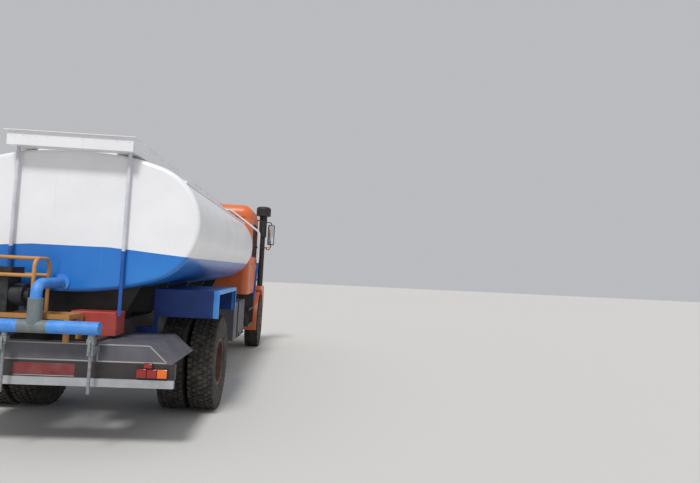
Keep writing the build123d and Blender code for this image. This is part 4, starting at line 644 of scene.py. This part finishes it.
def make_tyres():
    """Tyres with block treads, in place of the plain CAD ones."""
    tree = ring_tree("tread", [], tread_blocks)
    full = [(-a, r) for a, r in carcass] + [(a, r) for a, r in reversed(carcass[:-1])]
    for node, body in (
        ("front_tyre_left", "front_wheel_left"),
        ("front_tyre_right", "front_wheel_right"),
        ("rear_tyres_left", "rear_wheels_left"),
        ("rear_tyres_right", "rear_wheels_right"),
    ):
        low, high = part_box(node)
        axle_y = (low.y + high.y) / 2
        if high.x - low.x > twin_width:
            middles = [low.x + tyre_half, high.x - tyre_half]
        else:
            middles = [(low.x + high.x) / 2]
        parts = []
        for k, middle in enumerate(middles):
            centre = (middle, axle_y, tyre_radius)
            place = Matrix.Translation(centre) @ Matrix.Rotation(twin_turn * k, 4, "X")
            blocks = grown("tread", tree, {"Count": tread_pitches, "Material": materials["tyre"]}, place)
            bm = bmesh.new()
            bm.from_mesh(blocks)
            bmesh.ops.remove_doubles(bm, verts=bm.verts, dist=weld_distance)
            bmesh.ops.bevel(bm, geom=bm.edges[:], offset=block_edge, segments=1, affect="EDGES")
            bpy.data.meshes.remove(blocks)
            parts.append(bm)
            parts.append(lathe(full, centre, (1, 0, 0), (0, 0, 1), tyre_steps))
        piece = new_piece(node + "_treaded", join_bmeshes(parts), body, materials["tyre"])
        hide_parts(node)


# Wheel nuts: how many on a wheel, half a stud's length, and each (sides, radius, height) of nut and washer
stud_count = 10
stud_half = 0.020
nut_size = (6, 0.0205, 0.028)
washer_size = (16, 0.0235, 0.005)


def nut_shape(tree, given):
    """One hexagonal wheel nut on its washer, standing on the stud circle at the top."""
    join = add(tree, "GeometryNodeJoinGeometry")
    for sides, radius, height in (nut_size, washer_size):
        part = add(tree, "GeometryNodeMeshCylinder", {"Vertices": sides, "Radius": radius, "Depth": height})
        lying = add(tree, "GeometryNodeTransform", {"Rotation": (0.0, math.pi / 2, 0.0)},
                    {"Geometry": part.outputs["Mesh"]})
        placed = add(tree, "GeometryNodeTransform", {"Translation": (height / 2, 0.0, 0.0)},
                     {"Geometry": lying.outputs["Geometry"]})
        tree.links.new(placed.outputs["Geometry"], join.inputs["Geometry"])
    out = add(tree, "ShaderNodeCombineXYZ", links={"Z": given.outputs["Radius"]})
    raised = add(tree, "GeometryNodeTransform",
                 links={"Geometry": join.outputs["Geometry"], "Translation": out.outputs["Vector"]})
    return raised.outputs["Geometry"]


def make_wheel_nuts():
    """Ten nuts on each wheel's studs, from the place of the one stud that the record states."""
    tree = ring_tree("wheel_nuts", [("Radius", "NodeSocketFloat", None)], nut_shape)
    for mount in frame["record"]["mounts"]:
        if not mount["name"].endswith("wheel_stud"):
            continue
        end, hand = mount["name"].split("_")[:2]
        body = f"front_wheel_{hand}" if end == "front" else f"rear_wheels_{hand}"
        side = 1 if mount["axis"][0] > 0 else -1
        stud = Vector(mount["pos_m"])
        low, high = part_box(body)
        centre = Vector((stud.x - side * stud_half, (low.y + high.y) / 2, (low.z + high.z) / 2))
        arm = Vector((0, stud.y - centre.y, stud.z - centre.z))
        outwards = Matrix.Rotation(0 if side > 0 else math.pi, 4, "Z")
        start = Matrix.Rotation(-side * math.atan2(arm.y, arm.z), 4, "X")
        inputs = {"Radius": arm.length, "Count": stud_count, "Material": materials["zinc"]}
        place = Matrix.Translation(centre) @ outwards @ start
        data = grown(f"{end}_{hand}_wheel_nuts", tree, inputs, place)
        finish_piece(data.name, data, body)


def make_plate():
    """Blank dark red number plate on the rear beam, its raised rim bare and light along the foot, which also
    stands as a painted highlight along the plate's lower edge.
    """
    half_width, bottom, top = 0.260, 0.660, 0.770
    sheet, rim_inset = 0.003, 0.004
    plate = box_bmesh((-half_width, tail_face, bottom), (half_width, tail_face + sheet, top), 0.001)
    rim_half = half_width - rim_inset
    rim_y = tail_face + sheet
    foot = [(-rim_half, rim_y, bottom + rim_inset), (rim_half, rim_y, bottom + rim_inset)]
    head = [(rim_half, rim_y, top - rim_inset), (-rim_half, rim_y, top - rim_inset)]
    rim = tube_along([foot[1], head[0], head[1], foot[0]], 0.003)
    new_piece("number_plate", join_bmeshes([plate, rim]), "chassis", materials["plate"])
    # Light foot of the rim: bare metal, and also a painted highlight
    new_piece("plate_foot", tube_along(foot, 0.004), "chassis", materials["rail"])


def make_tail_lamps():
    """Long three-part lamp and a small marker lamp on each side of the rear beam."""
    low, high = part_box("tail_lamps")
    inner, outer = 0.783, 1.047
    marker_inner, marker_outer = 0.840, 0.920
    bottom, top = low.z + 0.004, low.z + 0.080
    marker_bottom, marker_top = high.z - 0.050, high.z - 0.002
    # Bases and lenses stand out from the beam's face; a rim shows round the lenses and a gap between two
    base = (low.y, low.y + 0.012)
    lens = (low.y + 0.010, low.y + 0.026)
    rim, gap = 0.004, 0.002
    third = (outer - inner) / 3
    bases, reds, ambers = [], [], []
    for side in (1, -1):
        bases.append(side_box(side, (inner - rim, outer + rim), base, (bottom - rim, top + rim), 0.003))
        for k, lenses in enumerate((reds, reds, ambers)):
            across = (inner + k * third + gap, inner + (k + 1) * third - gap)
            lenses.append(side_box(side, across, lens, (bottom, top), 0.005, 3))
        bases.append(side_box(side, (marker_inner, marker_outer), base, (marker_bottom, marker_top), 0.004))
        across = (marker_inner + rim, marker_outer - rim)
        reds.append(side_box(side, across, lens, (marker_bottom + rim, marker_top - gap), 0.006, 3))
    cases = new_piece("lamp_housings", join_bmeshes(bases), "chassis", materials["plastic"])
    red = new_piece("red_lamp_lenses", join_bmeshes(reds), "chassis", materials["red_lens"])
    new_piece("amber_lamp_lenses", join_bmeshes(ambers), "chassis", materials["amber_lens"])
    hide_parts("tail_lamps")
    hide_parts("tail_lamps")


# Sections of a headlamp: (ahead of the grille panel, radius)
headlamp_radius = 0.105
bezel_profile = [(0, headlamp_radius), (0.040, headlamp_radius), (0.050, 0.098), (0.046, 0.088), (0, 0.088)]
bowl_profile = [(0.002, 0.0005), (0.008, 0.050), (0.040, 0.088), (0.001, 0.088), (0.0005, 0.0005)]
lens_profile = [
    (0.053, 0.0005), (0.051, 0.030), (0.046, 0.065), (0.038, 0.088),
    (0.036, 0.088), (0.044, 0.065), (0.048, 0.030), (0.050, 0.0005),
]


def make_headlamps():
    """Chromed bezel, bowl and domed lens of each headlamp."""
    low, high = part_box("headlamps")
    centres = [(x, high.y, (low.z + high.z) / 2) for x in (low.x + headlamp_radius, high.x - headlamp_radius)]

    def pair(name, profile, finish):
        turned = [lathe(profile, centre, (0, -1, 0), (0, 0, 1), 64) for centre in centres]
        return new_piece(name, join_bmeshes(turned), "chassis", materials[finish])

    bezels = pair("headlamp_bezels", bezel_profile, "chrome")
    pair("headlamp_bowls", bowl_profile, "chrome")
    pair("headlamp_lenses", lens_profile, "glass")
    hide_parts("headlamps")


corner_steps = 6


def rounded_outline(corners, radius):
    """Points of a flat outline whose corners are rounded; corners are (a, b) pairs."""
    corners = [Vector(c) for c in corners]
    points = []
    for i, corner in enumerate(corners):
        before = (corners[i - 1] - corner).normalized()
        after = (corners[(i + 1) % len(corners)] - corner).normalized()
        half = before.angle(after) / 2
        reach = radius / math.tan(half)
        centre = corner + (before + after).normalized() * (radius / math.sin(half))
        start, end = corner + before * reach - centre, corner + after * reach - centre
        sweep = math.pi - 2 * half
        for k in range(corner_steps + 1):
            share = k / corner_steps * sweep
            spoke = (start * math.sin(sweep - share) + end * math.sin(share)) / math.sin(sweep)
            points.append(centre + spoke)
    return points


def upright_window(half_width, bottom, top, radius):
    """Outline of a window across the cab."""
    corners = [(-half_width, bottom), (half_width, bottom), (half_width, top), (-half_width, top)]
    return rounded_outline(corners, radius)


def on_windscreen(x, height, stand_off):
    """Point over the windscreen's foot, standing off the glass."""
    return Vector((x, screen_foot_y + screen_lean * height - stand_off, screen_foot_z + height))


def make_window_seals():
    """Rubber seals round the windscreen, the rear window and the door windows."""
    sunk = 0.001
    rear_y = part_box("cab_shell")[1].y + sunk
    rear = [(x, rear_y, z) for x, z in upright_window(0.450, 2.020, 2.440, 0.060)]
    front = [on_windscreen(x, z - screen_foot_z, sunk) for x, z in upright_window(0.930, 1.955, 2.580, 0.070)]
    seals = [tube_along(rear, 0.011, closed=True), tube_along(front, 0.012, closed=True)]
    new_piece("window_seals", join_bmeshes(seals), "chassis", materials["seal"])
    # Along the truck and up, on the door's outer face
    door = rounded_outline([(-2.755, 1.895), (-1.970, 1.895), (-1.970, 2.530), (-2.638, 2.530)], 0.040)
    door_face = 1.101
    for hand, side in (("left", 1), ("right", -1)):
        seal = tube_along([(side * door_face, y, z) for y, z in door], 0.009, closed=True)
        new_piece("door_seal_" + hand, seal, "door_" + hand, materials["seal"])


def make_mirrors():
    """Rounded mirror heads with glass facing back, on tube bows, with an amber marker on the lower arm."""
    # Outwards from the middle of the truck, rearwards and upwards
    head_box = (1.2995, 1.4445), (-3.101, -3.039), (2.180, 2.620)
    glass_box = (1.3135, 1.4305), (-3.041, -3.0365), (2.198, 2.602)
    marker_box = (1.280, 1.370), (-3.030, -2.985), (2.070, 2.105)
    # Bow from its lower foot on the door pillar round the head to its upper foot
    bow = [
        (1.110, -2.825, 2.115), (1.352, -3.050, 2.115), (1.372, -3.070, 2.135),
        (1.372, -3.070, 2.645), (1.352, -3.050, 2.665), (1.110, -2.590, 2.665),
    ]
    foot_across, foot_half_along, foot_half_up = (1.100, 1.112), 0.025, 0.020
    heads, glasses, markers, bows = [], [], [], []
    for side in (1, -1):
        heads.append(side_box(side, *head_box, 0.024, 4))
        glasses.append(side_box(side, *glass_box, 0.002))
        markers.append(side_box(side, *marker_box, 0.010, 3))
        bows.append(tube_along([(side * x, y, z) for x, y, z in bow], 0.011, sides=12))
        for _, y, z in (bow[0], bow[-1]):
            along = (y - foot_half_along, y + foot_half_along)
            bows.append(side_box(side, foot_across, along, (z - foot_half_up, z + foot_half_up), 0.003))
    arms = new_piece("mirror_bows", join_bmeshes(bows), "chassis", materials["chassis"])
    head = new_piece("mirror_heads", join_bmeshes(heads), "chassis", materials["plastic"])
    new_piece("mirror_glasses", join_bmeshes(glasses), "chassis", materials["chrome"])
    new_piece("mirror_markers", join_bmeshes(markers), "chassis", materials["amber_lens"])
    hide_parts("mirrors")
    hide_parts("mirrors")


def make_wipers():
    """Two wipers parked along the foot of the windscreen."""
    reach = 0.42
    blade_start, blade_end = Vector((-0.26, 0.004, -0.025)), Vector((0.26, 0.0, 0.02))
    parts = []
    for x in (-0.55, 0.35):
        foot = on_windscreen(x, 0.030, 0.012)
        tip = on_windscreen(x + reach, 0.090, 0.016)
        parts.append(tube_along([foot, tip], 0.006))
        parts.append(tube_along([tip + blade_start, tip + blade_end], 0.007))
    new_piece("wipers", join_bmeshes(parts), "chassis", materials["plastic"])


def make_rivets():
    """Round-headed rivets along the boards of the tray on the tank."""
    tree, given, result = geometry_tree("rivet_row", [
        ("Count", "NodeSocketInt", None),
        ("Step", "NodeSocketVector", None),
        ("Material", "NodeSocketMaterial", None),
    ])
    head = add(tree, "GeometryNodeMeshUVSphere", {"Segments": 8, "Rings": 5, "Radius": 0.006})
    line = add(tree, "GeometryNodeMeshLine",
               links={"Count": given.outputs["Count"], "Offset": given.outputs["Step"]})
    copies = add(tree, "GeometryNodeInstanceOnPoints",
                 links={"Points": line.outputs["Mesh"], "Instance": head.outputs["Mesh"]})
    real = add(tree, "GeometryNodeRealizeInstances", links={"Geometry": copies.outputs["Instances"]})
    painted = add(tree, "GeometryNodeSetMaterial",
                  links={"Geometry": real.outputs["Geometry"], "Material": given.outputs["Material"]})
    tree.links.new(painted.outputs["Geometry"], result.inputs["Geometry"])
    low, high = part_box("spill_tray")
    height = 2.775
    front_y, rear_y = low.y + 0.1, high.y - 0.024
    rows = [
        # name, first rivet, step, count
        ("tray_rear_rivets", (-0.52, rear_y, height), (0.104, 0, 0), 11),
        ("tray_right_rivets", (-0.56, front_y, height), (0, 0.2, 0), 26),
        ("tray_left_rivets", (0.56, front_y, height), (0, 0.2, 0), 26),
    ]
    for name, first, step, count in rows:
        inputs = {"Count": count, "Step": step, "Material": materials["tank"]}
        data = grown(name, tree, inputs, Matrix.Translation(first))
        finish_piece(name, data, "chassis")


def make_deck_panels():
    """Pressed borders of the two panels on the deck's rear face, painted lighter than the deck as painted
    light on the raised ribs beside the shaded recesses.
    """
    width, depth = 0.012, 0.004
    panels = [
        # left side, right side at the bottom, right side at the top, bottom, top
        (0.360, -0.395, -0.395, 0.800, 0.944),
        (-0.440, -1.035, -0.880, 0.800, 0.944),
    ]
    parts = []
    for left, right_low, right_high, bottom, top in panels:
        corners = [(left, bottom), (right_low, bottom), (right_high, top), (left, top)]
        for (x0, z0), (x1, z1) in zip(corners, corners[1:] + corners[:1]):
            length = math.hypot(x1 - x0, z1 - z0)
            bar = box_bmesh((0, 0, -width / 2), (length, depth, width / 2), 0.0015, 1)
            slope = Matrix.Rotation(-math.atan2(z1 - z0, x1 - x0), 4, "Y")
            place = Matrix.Translation((x0, tail_face, z0)) @ slope
            bmesh.ops.transform(bar, matrix=place, verts=bar.verts)
            parts.append(bar)
    # The borders' light paint is painted light on the lit ribs
    new_piece("deck_borders_painted_lit", join_bmeshes(parts), "chassis", materials["rail"])


def make_tap_gear():
    """Levers and clamp bands of the two taps below the spray bar."""
    # The valve body's half width and height, the lever's spindle, and the lever's box from the spindle's foot
    valve_half, valve_z = 0.030, 0.984
    spindle = Vector((0, 0.018, 0))
    lever_low, lever_high = Vector((-0.010, 0.014, -0.085)), Vector((0.010, 0.019, 0.012))
    band = [(-0.006, 0.0225), (0.006, 0.0225), (0.006, 0.0245), (-0.006, 0.0245)]
    levers, bands = [], []
    for x in (-0.430, 0.280):
        stem = Vector((x, bar_y + valve_half, valve_z))
        levers.append(tube_along([stem, stem + spindle], 0.008, sides=10))
        levers.append(box_bmesh(stem + lever_low, stem + lever_high, 0.002))
        for z in (0.945, 1.020):
            bands.append(lathe(band, (x, bar_y, z), (0, 0, 1), (1, 0, 0), 32))
    new_piece("tap_levers", join_bmeshes(levers), "chassis", materials["zinc"])
    new_piece("pipe_clamps", join_bmeshes(bands), "chassis", materials["zinc"])


def make_floor():
    """Wide pale floor under the wheels."""
    half = 60.0
    corners = [(-half, -half, 0), (half, -half, 0), (half, half, 0), (-half, half, 0)]
    data = bpy.data.meshes.new("floor")
    data.from_pydata(corners, [], [(0, 1, 2, 3)])
    data.materials.append(floor_paint())
    floor = bpy.data.objects.new("floor", data)
    bpy.context.scene.collection.objects.link(floor)


def make_light():
    """Soft sky all round, and a broad sun high behind the truck."""
    world = bpy.data.worlds.new("sky")
    bpy.context.scene.world = world
    world.use_nodes = True
    background = world.node_tree.nodes["Background"]
    background.inputs["Color"].default_value = linear("#f2f4f8")
    background.inputs["Strength"].default_value = 0.55
    lamp = bpy.data.lights.new("sun", "SUN")
    lamp.energy = 2.2
    lamp.angle = math.radians(12)
    sun = bpy.data.objects.new("sun", lamp)
    sun.rotation_euler = sun_direction.to_track_quat("Z", "Y").to_euler()
    bpy.context.scene.collection.objects.link(sun)


def make_camera():
    """Camera at the photograph's place and angle."""
    lens = bpy.data.cameras.new("camera")
    lens.sensor_width = sensor_width
    lens.lens = sensor_width * focal_pixels / photo_width
    camera = bpy.data.objects.new("camera", lens)
    bpy.context.scene.collection.objects.link(camera)
    ahead = Vector((
        -math.sin(camera_yaw) * math.cos(camera_pitch),
        -math.cos(camera_yaw) * math.cos(camera_pitch),
        math.sin(camera_pitch),
    ))
    level = ahead.cross(Vector((0, 0, 1))).normalized()
    upright = level.cross(ahead)
    right = math.cos(camera_roll) * level + math.sin(camera_roll) * upright
    up = right.cross(ahead)
    turned = Matrix((right, up, -ahead)).transposed()
    camera.matrix_world = Matrix.Translation(camera_place) @ turned.to_4x4()
    bpy.context.scene.camera = camera


make_tyres()
make_wheel_nuts()
make_plate()
make_tail_lamps()
make_headlamps()
make_window_seals()
make_mirrors()
make_wipers()
make_rivets()
make_deck_panels()
make_tap_gear()
make_floor()
make_light()
make_camera()
bpy.context.scene.view_settings.view_transform = "Standard"
